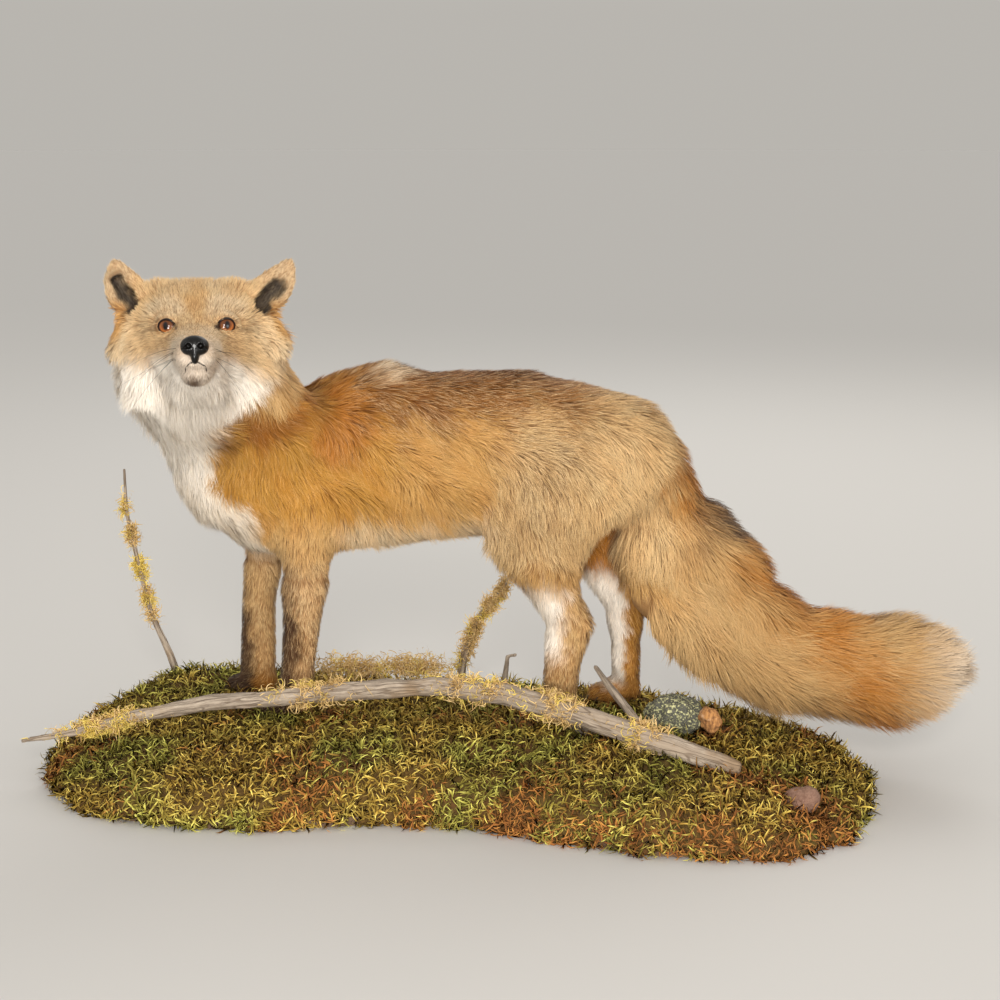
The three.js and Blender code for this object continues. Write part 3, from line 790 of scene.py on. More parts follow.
def eye_axes(hand):
    """The way an eye looks, the way to its outer corner, and up."""
    look = head_way(1, hand * EYE_OUTWARD, EYE_UPWARD)
    outer = unit(hand * LEFT - (hand * LEFT) @ look * look)
    up = np.cross(look, outer)
    return look, outer, up * np.sign(up @ CROWN)


def slit_height(sideways):
    """Half the height of the lids' opening, so far out or in (-) from its middle."""
    wide = np.where(sideways < 0, SLIT_WIDE * INNER_CORNER, SLIT_WIDE)
    share = np.abs(sideways) / wide
    rest = np.clip(1 - share ** 2, 0, 1)
    height = SLIT_HIGH * rest ** np.where(sideways < 0, 0.85, 0.6)
    return height - 4 * np.maximum(share - 1, 0)


def sculpt_eye(skin, places, hand, middle):
    """Sinks a socket, wraps the lids round the glass and opens them."""
    look, outer, up = eye_axes(hand)
    socket = middle + 16.5 * look - 1.5 * outer
    skin = carve(skin, ball(places, socket, (12, 12, 11)), 6)
    skin = join(skin, ball(places, middle, (EYE_RADIUS + LID_THICK,) * 3), 5)
    offset = places - middle.astype(np.float32)
    sideways = offset @ outer.astype(np.float32)
    height = np.abs(offset @ up.astype(np.float32))
    ahead = offset @ look.astype(np.float32)
    opening = np.maximum(height - slit_height(sideways), 2 - ahead)
    skin = carve(skin, opening, 0.8)
    return carve(skin, ball(places, middle, (EYE_RADIUS + 0.2,) * 3), 0.4)


print("the lids open", 2 * slit_height(np.array(0.0)), "mm")

# %% Sculpt the mouth
LIP = ((71, 0, -40), (70, 4, -41.5), (67, 8, -45), (62.5, 12, -48.5),
       (55, 16.5, -50.5), (45, 20, -51.5), (32, 22.5, -50.5), (20, 25, -48))


def lip_runs(hand, count=len(LIP)):
    """The straight runs of one side's lip, from the middle out, on the head's axes."""
    lip = [(forward, hand * left, crown) for forward, left, crown in LIP[:count]]
    return zip(lip, lip[1:])


def sculpt_mouth(skin, places):
    """Nose bed, whisker pads, the furrow below the nose, and the lips."""
    places = on_head(places)
    skin = join(skin, ball(places, on_head(nose_tip) - (7, 0, 0), (5.5, 11, 8.6)), 3)
    skin = join(skin, ball(places, (45, 0, -49.5), (16.5, 13.5, 9.5)), 5)
    for hand in (1, -1):
        skin = join(skin, ball(places, (55, hand * 9.5, -33.5), (13, 9, 8.6)), 5)
        for start, end in lip_runs(hand):
            skin = carve(skin, bar(places, start, end, 1.5), 1.6)
    return carve(skin, bar(places, (74, 0, -34), (71.5, 0, -40), 1.3), 2)


print("lips through", len(LIP), "places on each side")

# %% Sculpt the ears
EAR_ROOM = {  # hand: both ends, each out along the ear and ahead of its root, and radius
    -1: ((3, 3), (31, 1.5), 8),
    1: ((-3, 3), (26, 1.5), 8.5),
}


def ear_hollow(places, hand, splay, reach):
    """The room inside the front of an ear, as a field."""
    *ends, radius = EAR_ROOM[hand]
    return bar(places, *(ear_place(hand, splay, reach, *end) for end in ends), radius)


def sculpt_ear(skin, places, hand, splay, reach):
    """Sets an ear firmly on the head and hollows its front."""
    inner = (head_place(-40, hand * 36, 35), ear_place(hand, splay, reach, 20, -6))
    skin = join(skin, bar(places, *inner, 8), 7)
    if hand < 0:
        tip = ear_place(hand, splay, reach, 39, -4)
        skin = join(skin, ball(places, tip, (8.5, 8, 8)), 4)
    skin = join(skin, ball(places, head_place(-42, hand * 60, -16), (24, 14, 22)), 9)
    skin = join(skin, ball(places, head_place(-40, hand * 62, 3), (16, 10, 15)), 8)
    return carve(skin, ear_hollow(places, hand, splay, reach), 3)


print("the ears' roots lie", 2 * EAR_ROOT[1], "mm apart")

# %% Sculpt the whole head
HEAD_GRID = 1.3
EAR_FULLNESS = 2.2  # how far the ear's fur thickens its edge
HEAD_END = -45      # the head's clay ends this far below the chin's cut
HEAD_SEAM = -30     # and the coat changes over here
CHIN_CUT = head_place(25, 0, -62)
CHIN_FACING = unit(0.54 * FORWARD + 0.84 * CROWN)
CREST = (head_place(-42, -38, 37), head_place(-42, 38, 37))
NAPE_DOME = head_place(-62, 0, 14)
FOLDS = (  # the folds under the jaw and behind the skull: middle and radii
    ((0, 0, -72), (50, 62, 34)),
    ((-84, 0, 4), (38, 66, 50)),
)


def above_chin(points):
    """How far points lie above the cut under the chin."""
    return (points - CHIN_CUT.astype(np.float32)) @ CHIN_FACING.astype(np.float32)


def fill_folds(skin, places, middle, radii):
    """Fills the folds round a point of the head, where stretches of coat meet."""
    share = blob(on_head(places), middle, radii, 0.3)
    return skin + np.minimum(soften(skin, 60) - skin, 0) * share


def head_skin():
    """The head on its fine clay."""
    clay = clay_over(HEAD, HEAD_GRID, below=50.0)
    places = clay.points()
    form = clay.from_nodes((*HEAD, "fox_neck"), SKIN_REACH)
    raw = form + coat_depth(places, form, SKIN_REACH)
    ears = np.minimum(*(clay.from_mesh(*cad_mesh(name), 8) for name in HEAD[2:]))
    near_ear = 1 - ramp(ears, 0, 5)
    lightly = soften(raw, 1)
    skin = soften(lightly, 3)
    skin += (lightly - skin) * near_ear - EAR_FULLNESS * near_ear

    def shape(tool, middle, half, *details):
        """Uses a tool only within `half` mm of a point, which saves time."""
        window = clay.window(middle, half)
        skin[window] = tool(skin[window], places[window], *details)

    for middle, radii in FOLDS:
        shape(fill_folds, head_place(*middle), 78, middle, radii)
    shape(sculpt_mouth, head_place(48, 0, -38), 42)
    shape(sculpt_eye, eye_left, 30, 1, eye_left)
    shape(sculpt_eye, eye_right, 30, -1, eye_right)
    for ear in EARS:
        shape(sculpt_ear, ear_place(*ear, 14, 0), 52, *ear)
    skin = join(skin, bar(places, *CREST, 9), 8)
    skin = join(skin, ball(places, NAPE_DOME, (34, 42, 26)), 14)
    return clay.surface(np.maximum(skin, HEAD_END - above_chin(places)))


head_corners, head_quads = head_skin()
print("head skin", len(head_quads), "faces")

# %% [markdown]
# ## Finishes as sums
#
# A material is a graph of nodes, and long lists of add-node and add-link lines hide what it
# does. Here a link is wrapped in a small class with Python's own operators, so a finish can
# be written as the sum that it is. Numbers go through Math nodes. Colours and vectors go
# through Mix and Vector Math, because a Math node would turn a colour grey.

# %% Shader maths
def operation(name):
    """Two methods for a kind of sum: one with the link first, and its reflected form."""
    return (lambda link, other: link.work_out(name, link, other),
            lambda link, other: link.work_out(name, other, link))


class Link:
    """An output socket that Python can add, subtract, multiply and raise to a power."""

    __add__, __radd__ = operation("ADD")
    __sub__, __rsub__ = operation("SUBTRACT")
    __mul__, __rmul__ = operation("MULTIPLY")
    __pow__, __rpow__ = operation("POWER")

    def __init__(self, finish, socket):
        self.finish = finish
        self.socket = socket

    def work_out(self, name, first, second):
        """The node of one operation: on numbers, or on colours and vectors."""
        colours = any(
            isinstance(value, Link) and value.socket.type in ("RGBA", "VECTOR")
            for value in (first, second)
        )
        kind = "ShaderNodeVectorMath" if colours else "ShaderNodeMath"
        return self.finish.add(kind, {"operation": name}, {0: first, 1: second})

    def step(self, low, high):
        """0 at low and 1 at high, eased at both ends."""
        return self.finish.add(
            "ShaderNodeMapRange", {"interpolation_type": "SMOOTHSTEP"},
            {"Value": self, "From Min": low, "From Max": high},
        )


print("a link has", *(name for name in vars(Link) if name[:3] == "__r"))

# %% Finishes
class Finish:
    """A material with one Principled shader, and words for the nodes that feed it."""

    def __init__(self, name, **fixed):
        self.material = bpy.data.materials.new(name)
        self.material.use_nodes = True
        self.tree = self.material.node_tree
        self.shader = self.tree.nodes["Principled BSDF"]
        for socket, value in fixed.items():
            self.shader.inputs[socket.replace("_", " ")].default_value = value

    def add(self, kind, settings=None, inputs=None, output=0):
        """Any node: its type, its settings, and the values or links of its sockets."""
        node = self.tree.nodes.new(kind)
        for name, value in (settings or {}).items():
            if name == "stops":
                while len(node.color_ramp.elements) < len(value):
                    node.color_ramp.elements.new(0.5)
                for element, (place, colour) in zip(node.color_ramp.elements, value):
                    element.position = place
                    element.color = (*colour, 1)
            else:
                setattr(node, name, value)
        for name, value in (inputs or {}).items():
            socket = node.inputs[name]
            if isinstance(value, Link):
                self.tree.links.new(value.socket, socket)
            elif socket.type == "VALUE":
                socket.default_value = value
            else:
                triple = (value,) * 3 if isinstance(value, (int, float)) else tuple(value)
                four = len(socket.default_value) == 4
                socket.default_value = (*triple, 1.0) if four else triple
        return Link(self, node.outputs[output])

    def mix(self, first, second, share):
        """The first colour where share is 0, and the second where it is 1."""
        return self.add(
            "ShaderNodeMix", {"data_type": "RGBA"}, {0: share, 6: first, 7: second}, output=2
        )

    def noise(self, size, detail=3, roughness=0.55, stretch=None, place=None):
        """Noise from 0 to 1 with bumps about `size` mm apart, drawn out along the axes."""
        place = place or self.add("ShaderNodeTexCoord", output="Object")
        if stretch:
            place = place * stretch
        return self.add(
            "ShaderNodeTexNoise", {"noise_dimensions": "3D"},
            {"Vector": place, "Scale": 1 / (size * MM), "Detail": detail,
             "Roughness": roughness},
        )

    def kept(self, name):
        """The three numbers kept at each corner under a name."""
        vector = self.add("ShaderNodeAttribute", {"attribute_name": name}, output="Vector")
        split = self.add("ShaderNodeSeparateXYZ", None, {0: vector})
        return [Link(self, split.socket.node.outputs[i]) for i in range(3)]

    def feed(self, socket, link):
        """Links a sum to one of the shader's sockets."""
        self.tree.links.new(link.socket, self.shader.inputs[socket])

    def bump(self, height, depth):
        """Raises the surface by up to `depth` mm where height is 1."""
        self.feed("Normal", self.add(
            "ShaderNodeBump", None, {"Height": height, "Distance": depth * MM, "Strength": 1}
        ))


print("a finish has", *(name for name in vars(Finish) if name[0] != "_"))

# %% [markdown]
# ## Markings
#
# A fox's pattern is a set of patches that fade into each other: a rust coat, a grizzled
# saddle, buff hips, white bib and throat, dark stockings, black ear backs and a pale brush
# tip. An image painted on the skin is the usual way, but the tufts would need it too. So
# each patch is a mask from 0 to 1, worked out from where a hair's root lies on the body,
# with waves to roughen its edge. The skin and every tuft keep the same masks, and
# both their shaders mix the same colours through them, so a parting shows no other hue.

# %% Marks of the trunk
MARKS = (("rust", "saddle", "buff"), ("straw", "cream", "white"), ("umber", "black", "fleck"))
BIB_HEIGHTS = (225, 251, 303, 340, 360, 388, 400, 415, 430)  # the bib's edge, in mm
BIB_EDGE = (-188, -198, -236, -251, -258, -248, -232, -204, -188)
FAR_HEIGHTS = (275, 336, 388, 430)  # and where it ends on the far side
FAR_EDGE = (104, 75, 40, 8)


def thigh_inside(x, y, z):
    """A mask of the inner face of the right thigh."""
    tall = ramp(z, 196, 214) * (1 - ramp(z, 268, 290))
    return ramp(y, 26, 48) * ramp(x, 84, 104) * (1 - ramp(x, 168, 190)) * tall


def body_marks(x, y, z, rough):
    """Masks of the trunk, as a dictionary."""
    edge = np.interp(z, BIB_HEIGHTS, BIB_EDGE)
    near = ramp(-y, -70, -20)
    far_edge = np.interp(z, FAR_HEIGHTS, FAR_EDGE)
    bib = 1 - ramp(x, edge - 12, edge + 12)
    bib = bib * (1 - ramp(y, far_edge - 14, far_edge + 14))
    place = np.stack([x, y, z], axis=-1)
    neck = blob(place, (-192, -45, 394), (34, 70, 20)) + blob(place, (-192, 130, 394), (34, 70, 20))
    band = blob(place, (-120, -20, 392), (28, 60, 46)) + blob(place, (-120, 110, 392), (28, 60, 46))
    nape = ramp(z, 406, 428) * ramp(x, -230, -200) * (1 - ramp(x, -130, -100))
    saddle = ramp(z + 10 * rough, 356, 404) * ramp(x, -136, -84)
    saddle = saddle * (1 - ramp(x, 120, 175))
    hip_edge = 34 + 0.15 * (z - 303)
    hip = ramp(x, hip_edge - 32, hip_edge + 34) * (1 - 0.9 * saddle)
    rear_edge = 128 + 0.1 * (z - 300)
    rear = ramp(x, rear_edge - 30, rear_edge + 26)
    belly = 1 - ramp(z + 4 * rough, 268, 300)
    belly = belly * ramp(x, -135, -100) * (1 - ramp(x, 15, 60))
    withers = blob(place, (-92, 40, 440), (46, 64, 24))
    side = ramp(x, -96, -40) * (1 - saddle)
    hock = blob(place, (123, -10, 230), (36, 60, 26))
    low = 1 - ramp(z, 262, 300)
    inner = thigh_inside(x, y, z)
    return {
        "white": np.maximum(bib * (0.72 + 0.28 * ramp(z, 300, 350)), 0.3 * withers),
        "rust": 0.8 * neck + 0.75 * band + 0.65 * inner + 0.3 * hock,
        "saddle": np.maximum(saddle * (1 - withers), 0.6 * neck + 0.22 * band),
        "buff": hip * (1 - 0.3 * rear) * (1 - inner),
        "straw": np.maximum(
            rear * (1 - 0.35 * ramp(z, 395, 430)),
            np.maximum(np.maximum(0.6 * low * np.maximum(near, hip), 0.8 * nape), 0.28 * side),
        ) * (1 - inner),
        "cream": np.maximum(np.maximum(0.9 * belly, withers), bib),
        "fleck": (0.25 + 0.9 * saddle + 0.75 * hip * (1 - 0.6 * rear)) * (1 - 0.8 * withers),
    }


print("the trunk can have", *body_marks(*np.zeros((4, 1))))

# %% Marks of the legs
def leg_marks(x, y, z):
    """Masks of the legs, and how far a point is on one."""
    near = 1 - ramp(y, 44, 52)
    fore = 1 - ramp(x, 0, 20)
    leg = 1 - ramp(z, 205, 262)
    front_of_fore = np.where(near > 0.5, ramp(-x, 156, 174), ramp(-x, 224, 240))
    stocking = fore * front_of_fore * (1 - ramp(z, 150, 205))
    high_spot = fore * near * front_of_fore * ramp(z, 140, 190) * 0.35
    shin = np.where(near > 0.5, 1 - ramp(x, 104, 126), 1 - ramp(x, 172, 184))
    shin = shin * (1 - fore) * (1 - ramp(z, 195, 228))
    shin = shin * np.where(near > 0.5, ramp(z, 112, 150), ramp(z, 68, 88))
    back = (1 - fore) * (1 - shin) * (1 - ramp(z, 196, 235))
    inner = thigh_inside(x, y, z)
    return leg, {
        "white": 0.95 * shin,
        "straw": (0.9 - 0.3 * near) * fore * ramp(z, 66, 100) + (0.1 + 0.7 * near) * back,
        "cream": 0.25 * near * fore * (1 - stocking),
        "umber": 0.95 * stocking + high_spot,
        "rust": 0.15 * back + 0.65 * inner + 0.35 * fore * (1 - stocking),
        "black": 0.5 * fore * front_of_fore * (1 - ramp(z, 70, 110)),
        "fleck": 0.8 * fore * near + 0.25,
    }


print("a leg can have", *leg_marks(*np.zeros((3, 1)))[1])

# %% Marks of the tail
def tail_marks(x, y, z, rough):
    """Masks of the tail, and how far a point is on it."""
    place = np.stack([x, y, z], axis=-1)
    tail = ramp(x + 0.35 * z, 292, 326) * ramp(x, 196, 222)
    brush_end = ramp(x, 400, 450)
    sash = np.exp(-((x - (336 + 0.75 * (199 - z)) + 6 * rough) / 34) ** 2)
    crest = ramp(z - (400 - 0.86 * (x - 190)), -26, 14) * (1 - ramp(x, 350, 420))
    tip = 0.85 * ramp(x - 0.3 * (z - 110) + 6 * rough, 436, 494)
    gland = blob(place, (280, 42, 288), (38, 90, 32))
    end = blob(place, (520, 30, 66), (50, 60, 16)) * 0.5
    under = 0.5 * (1 - ramp(z - 0.35 * np.maximum(300 - x, 0), 66, 96))
    under = under * (1 - ramp(x, 330, 400))
    return tail, {
        "straw": 0.72 - 0.7 * sash - 0.6 * crest,
        "rust": 0.75 * sash + 0.8 * crest + 0.18 * brush_end,
        "white": 0.62 * tip,
        "umber": (np.maximum(0.95 * gland, np.maximum(end, under)) + 0.26 * crest + 0.14
                  + 0.1 * brush_end),
        "fleck": 0.18 + 0.3 * crest,
    }


print("the tail can have", *tail_marks(*np.zeros((4, 1)))[1])

# %% Marks of the head
JOWL_ASIDE = (-80, -30, 0, 30, 64, 95)  # the edge of the white cheeks on the head's axes
JOWL_EDGE = (-22, -26, -28, -31, -46, -72)


def from_head(spots):
    """Points given on the head's axes, in the model's frame."""
    return (spots @ HEAD_AXES + BROW).astype(np.float32)


def head_marks(spots):
    """Masks of the head, from points on its own axes."""
    forward, left, crown = spots[..., 0], spots[..., 1], spots[..., 2]
    aside = np.abs(left)
    mirror = np.stack([forward, aside, crown], axis=-1)
    edge = np.interp(left, JOWL_ASIDE, JOWL_EDGE)
    jowl = (1 - ramp(crown - edge, -11, 9)) * ramp(forward, -100, -70)
    lips = ramp(forward, 20, 40) * (1 - ramp(crown - 0.25 * aside, -28, -14))
    ear = ramp(aside + 0.5 * crown, 78, 92) * ramp(crown, 4, 16)
    grey = blob(mirror, (44, 18, -24), (20, 9, 13))
    white = np.maximum(jowl * (1 - 0.25 * ramp(forward, 26, 48)), 0.55 * lips)
    white = white * (1 - 0.35 * grey)
    brow = blob(mirror, (-10, 28, 17), (26, 19, 13))
    cheek = ramp(aside, 36, 70) * (1 - ramp(crown, -4, 24))
    orange = blob(spots, (10, 34, -27), (16, 10, 14))
    orange = orange + 0.5 * blob(spots, (6, -36, -17), (16, 11, 8))
    ear_base = blob(mirror, (-40, 78, 10), (24, 14, 18))
    bridge = blob(mirror, (38, 13, -14), (28, 13, 14))
    middle = blob(mirror, (-12, 0, 22), (40, 10, 26))
    back = ramp(-forward, 72, 102)
    tear = blob(mirror, (3, 16.5, -4.5), (9, 4.5, 2.6))
    tear = tear + 0.5 * blob(mirror, (-5, 44, -2), (14, 10, 1.8), 0.8)
    streak = 0.3 * blob(mirror, (0, 19.5, 15), (14, 2, 8), 0.8)
    smudge = 0.7 * blob(spots, (48, -3, -57), (16, 7, 4.5), 0.8)
    pad_line_and_chin_shade = 0.3 * blob(mirror, (50, 15, -32), (9, 4, 7))
    # the broad blob over the chin is painted shade under the mouth
    pad_line_and_chin_shade = pad_line_and_chin_shade + 0.16 * blob(spots, (54, 0, -50), (16, 13, 8))
    hollow = np.minimum(*(ear_hollow(from_head(spots), *ear) for ear in EARS))
    return {
        "white": white,
        "straw": 0.85 * (1 - white) * (1 - 0.75 * ear_base) * (1 - 0.3 * middle),
        "cream": np.clip(
            0.32 + 0.5 * brow + 0.4 * cheek + 0.5 * grey + 0.4 * bridge + 0.35 * ear, 0, 1
        ) * (1 - 0.8 * ear_base) * (1 - 0.5 * middle),
        "rust": 0.55 * orange + 0.25 * ear_base + 0.12 * middle + 0.5 * back * (1 - jowl),
        "umber": np.clip(tear + streak + smudge + pad_line_and_chin_shade + 0.2 * lips + 0.22 * ear, 0, 1),
        "black": 0.96 * (1 - ramp(hollow, 0, 3)),
        "fleck": 0.045 * np.ones_like(crown),
    }


print("the head can have", *head_marks(np.zeros((1, 3))))

# %% All marks together
def markings(points):
    """The masks of all markings, for the roots of hairs at some points."""
    rough = waves(points, 34, 11) * 0.6 + waves(points, 13, 12) * 0.4
    x, y, z = (points[..., i] + 5 * rough for i in range(3))
    share = {name: 0 for row in MARKS for name in row}
    leg, legs = leg_marks(x, y, z)
    tail, tails = tail_marks(x, y, z, rough)
    head = ramp(above_chin(points), -26, -4)
    spots = on_head(points + 1.2 * rough[..., None])
    for cover, masks in (
        (1, body_marks(x, y, z, rough)), (leg * (1 - tail), legs), (tail, tails),
        (head, head_marks(spots)),
    ):
        for name in share:
            share[name] = share[name] * (1 - cover) + masks.get(name, 0) * cover
    share["fleck"] = share["fleck"] * (1 - 0.9 * share["white"])
    return [
        np.stack([np.clip(share[name], 0, 1) for name in row], axis=-1).astype(np.float32)
        for row in MARKS
    ]


def keep_marks(piece, rows, repeat=1):
    """Keeps the masks of a piece's corners for its material."""
    for number, row in enumerate(rows):
        note(piece, f"marks_{number}", np.repeat(row, repeat, axis=0))


print(sum(map(len, MARKS)), "marks for each hair, in", len(MARKS), "rows of three")

# %% Colours of the coat
COAT = {
    "flank": (0.49, 0.245, 0.042),
    "rust": (0.44, 0.15, 0.014),
    "saddle": (0.26, 0.1, 0.018),
    "buff": (0.45, 0.298, 0.136),
    "straw": (0.605, 0.412, 0.196),
    "cream": (0.72, 0.57, 0.37),
    "white": (0.895, 0.825, 0.725),
    "umber": (0.1, 0.054, 0.027),
    "black": (0.018, 0.014, 0.012),
}
ROOT_TINT = (0.54, 0.41, 0.32)    # hair is darker and redder near its root
GUARD_TINT = (0.1, 0.048, 0.022)  # dark bands of the odd guard hair
PALE_TIP = (0.8, 0.6, 0.34)


def coat_colour(finish):
    """The coat's colour without the play of single hairs, its whiteness and its flecks."""
    colour = COAT["flank"]
    kept = {}
    for number, row in enumerate(MARKS):
        kept.update(zip(row, finish.kept(f"marks_{number}")))
    for name in list(COAT)[1:]:
        colour = finish.mix(colour, COAT[name], kept[name])
    return colour, kept["white"], kept["fleck"]


def coat_finish():
    """Fur: darker and redder at the roots, paler at the tips, with odd dark guard hairs."""
    finish = Finish("fur", Roughness=0.6, Specular_IOR_Level=0.2, Sheen_Weight=0.04,
                    Sheen_Roughness=0.5)
    colour, white, fleck = coat_colour(finish)
    along, shade, tint = finish.kept("hair")
    root = finish.mix(colour * ROOT_TINT, colour * (0.9, 0.87, 0.84), white)
    pale = shade.step(0.55, 0.95) * along
    tip = finish.mix(colour * 1.12, PALE_TIP, pale * (fleck * 0.6 + 0.1))
    colour = finish.mix(root, tip, along.step(0, 0.75))
    guard = (fleck * 0.22 - shade).step(0, 0.04) * along.step(0.1, 0.5)
    colour = finish.mix(colour, GUARD_TINT, guard * 0.65)
    colour = finish.mix(colour, colour * (1, 0.82, 0.62), tint * 0.35 * (1 - white))
    finish.feed("Base Color", colour * (shade * 0.26 + 0.87))
    return finish.material


def skin_finish():
    """The hide under the coat: the same markings, darker, with the nap of short hair."""
    finish = Finish("hide", Roughness=0.8, Specular_IOR_Level=0.2)
    colour, white, _ = coat_colour(finish)
    nap = finish.noise(1.6, detail=4, stretch=(0.5, 1, 0.8))
    under = finish.mix(colour * (0.6, 0.5, 0.44), colour * 0.86, white)
    finish.feed("Base Color", under * (nap * 0.6 + 0.7))
    finish.bump(nap, 0.8)
    return finish.material


fur = coat_finish()
hide = skin_finish()
print("fur and hide mix", len(COAT), "colours")

# %% Join the three skins
def corner_normals(corners, quads):
    """Smooth normals at the corners of a mesh of quads."""
    across = corners[quads[:, 2]] - corners[quads[:, 0]]
    aslant = corners[quads[:, 3]] - corners[quads[:, 1]]
    faces = np.cross(across, aslant)
    normals = np.zeros_like(corners)
    for side in range(4):
        for axis in range(3):
            normals[:, axis] += np.bincount(quads[:, side], faces[:, axis], len(corners))
    return unit(normals)


skins = ((trunk_corners, trunk_quads), (leg_corners, leg_quads), (head_corners, head_quads))
starts = np.cumsum([0, *(len(corners) for corners, _ in skins)])
skin_corners = np.concatenate([corners for corners, _ in skins])
skin_quads = np.concatenate([quads + start for (_, quads), start in zip(skins, starts)])
skin_normals = corner_normals(skin_corners, skin_quads)
skin = new_piece("skin", skin_corners, skin_quads, hide, "coat_red")
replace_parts(skin, *HEAD, *TRUNK, *LOWER_LEGS, *PAWS)
keep_marks(skin, markings(skin_corners))

# %% [markdown]
# ## The coat
#
# Blender's hair is lost when a model is exported, so each tuft here is solid mesh: a thin
# ribbon of three lengths that tapers to a point. Roots are strewn over the skin's faces by
# area, with more of them where the hair is short. A tuft rises from its root until it is
# as high as the coat is deep, turns with the comb, and leans towards its neighbours so
# that the coat parts into locks. Its normals lie close to the skin's, which shades the
# coat as one soft body and not as thousands of little blades.

# %% How each stretch of coat is made
# tufts in a square mm, half-width in mm, how far hairs gather into locks, number of ZONES
TUFTS = {
    "face": (1.36, 0.2, 0.22, 0),
    "chin": (0.95, 0.24, 0.32, 0),
    "ears": (1.08, 0.24, 0.2, 0),
    "crown": (0.93, 0.24, 0.28, 0),
    "cheeks": (0.9, 0.27, 0.38, 0),
    "ruff": (0.68, 0.29, 0.42, 1),
    "breast": (0.62, 0.3, 0.42, 1),
    "shoulders": (0.64, 0.27, 0.38, 2),
    "back": (0.68, 0.27, 0.4, 2),
    "flanks": (0.6, 0.28, 0.42, 2),
    "hips": (0.64, 0.27, 0.4, 3),
    "forelegs": (0.54, 0.27, 0.3, 4),
    "hindlegs": (0.46, 0.29, 0.32, 6),
    "tail": (0.54, 0.34, 0.46, 8),
    "brush": (0.56, 0.34, 0.46, 9),
}
SHORT = ("face", "chin", "ears", "crown", "forelegs", "hindlegs")  # tufts of two lengths only
print("up to", max(TUFTS.values())[0], "tufts in a square mm")

# %% Roots over the skin
COAT_SEED = 5
BARE_NOSE = (11, 14, 11)  # no hair within this of the nose, in mm
TAIL_SIDE = 204           # the legs' own skin ends here, where the tail hangs by it


def has_fur(middle, source):
    """Whether hair grows at points of the three skins, each known by its number."""
    high = above_chin(middle)
    near_head = (middle[:, 0] < -120) & (middle[:, 2] > 380)
    legs = (middle[:, 2] < LEG_TOP) & (middle[:, 0] < TAIL_SIDE)
    wanted = np.choose(source, [
        ~legs & ~(near_head & (high > HEAD_SEAM)), legs, high > HEAD_SEAM,
    ])
    for eye in (eye_left, eye_right):
        wanted &= norm(middle - eye, axis=1) > EYE_RADIUS + 1.1
    spots = on_head(middle)
    wanted &= norm((spots - on_head(nose_tip)) / BARE_NOSE, axis=1) > 1
    for hand in (1, -1):
        for start, end in lip_runs(hand, 6):
            wanted &= bar(spots, start, end, 1.5) > 0
    return wanted


def strew():
    """Roots over the skin by area, their normals, and the draw for later."""
    draw = np.random.default_rng(COAT_SEED)
    halves = np.concatenate([skin_quads[:, [0, 1, 2]], skin_quads[:, [0, 2, 3]]])
    a, b, c = (skin_corners[halves[:, i]] for i in range(3))
    area = 0.5 * norm(np.cross(b - a, c - a), axis=1)
    middle = (a + b + c) / 3
    density = np.array([TUFTS[name][0] for name in stroke_piece])[comb(middle)[3]]
    source = np.searchsorted(starts, halves[:, 0], side="right") - 1
    counts = draw.poisson(area * density * has_fur(middle, source))
    chosen = np.repeat(np.arange(len(halves)), counts)
    u, v = draw.random((2, len(chosen), 1)).astype(np.float32)
    u, v = np.where(u + v > 1, 1 - u, u), np.where(u + v > 1, 1 - v, v)
    corners = halves[chosen]

    def blend(values):
        first, second, third = (values[corners[:, i]] for i in range(3))
        return first + (second - first) * u + (third - first) * v

    return blend(skin_corners), unit(blend(skin_normals)), draw


roots, root_normals, draw = strew()
ways, lengths, depths, nearest_stroke = comb(roots)
root_piece = np.array([list(STROKES).index(name) for name in stroke_piece])[nearest_stroke]
print(len(roots), "tufts", dict(zip(STROKES, np.bincount(root_piece))))

# %% The shape of every tuft
STEPS = np.array([0.0, 0.34, 0.68, 1.0], np.float32)     # rings along a tuft
FULLNESS = np.array([0.75, 1.0, 0.72, 0.0], np.float32)  # and its breadth at each
TUFTS_PER_LOCK = 22


def locks(tips):
    """For each tuft, the tip of the lock that it leans towards."""
    leaders = draw.choice(len(tips), len(tips) // TUFTS_PER_LOCK, replace=False)
    tree = kdtree.KDTree(len(leaders))
    for number, place in enumerate(tips[leaders]):
        tree.insert(place, number)
    tree.balance()
    found = np.fromiter((tree.find(tip)[1] for tip in tips), np.int32, len(tips))
    return tips[leaders][found]


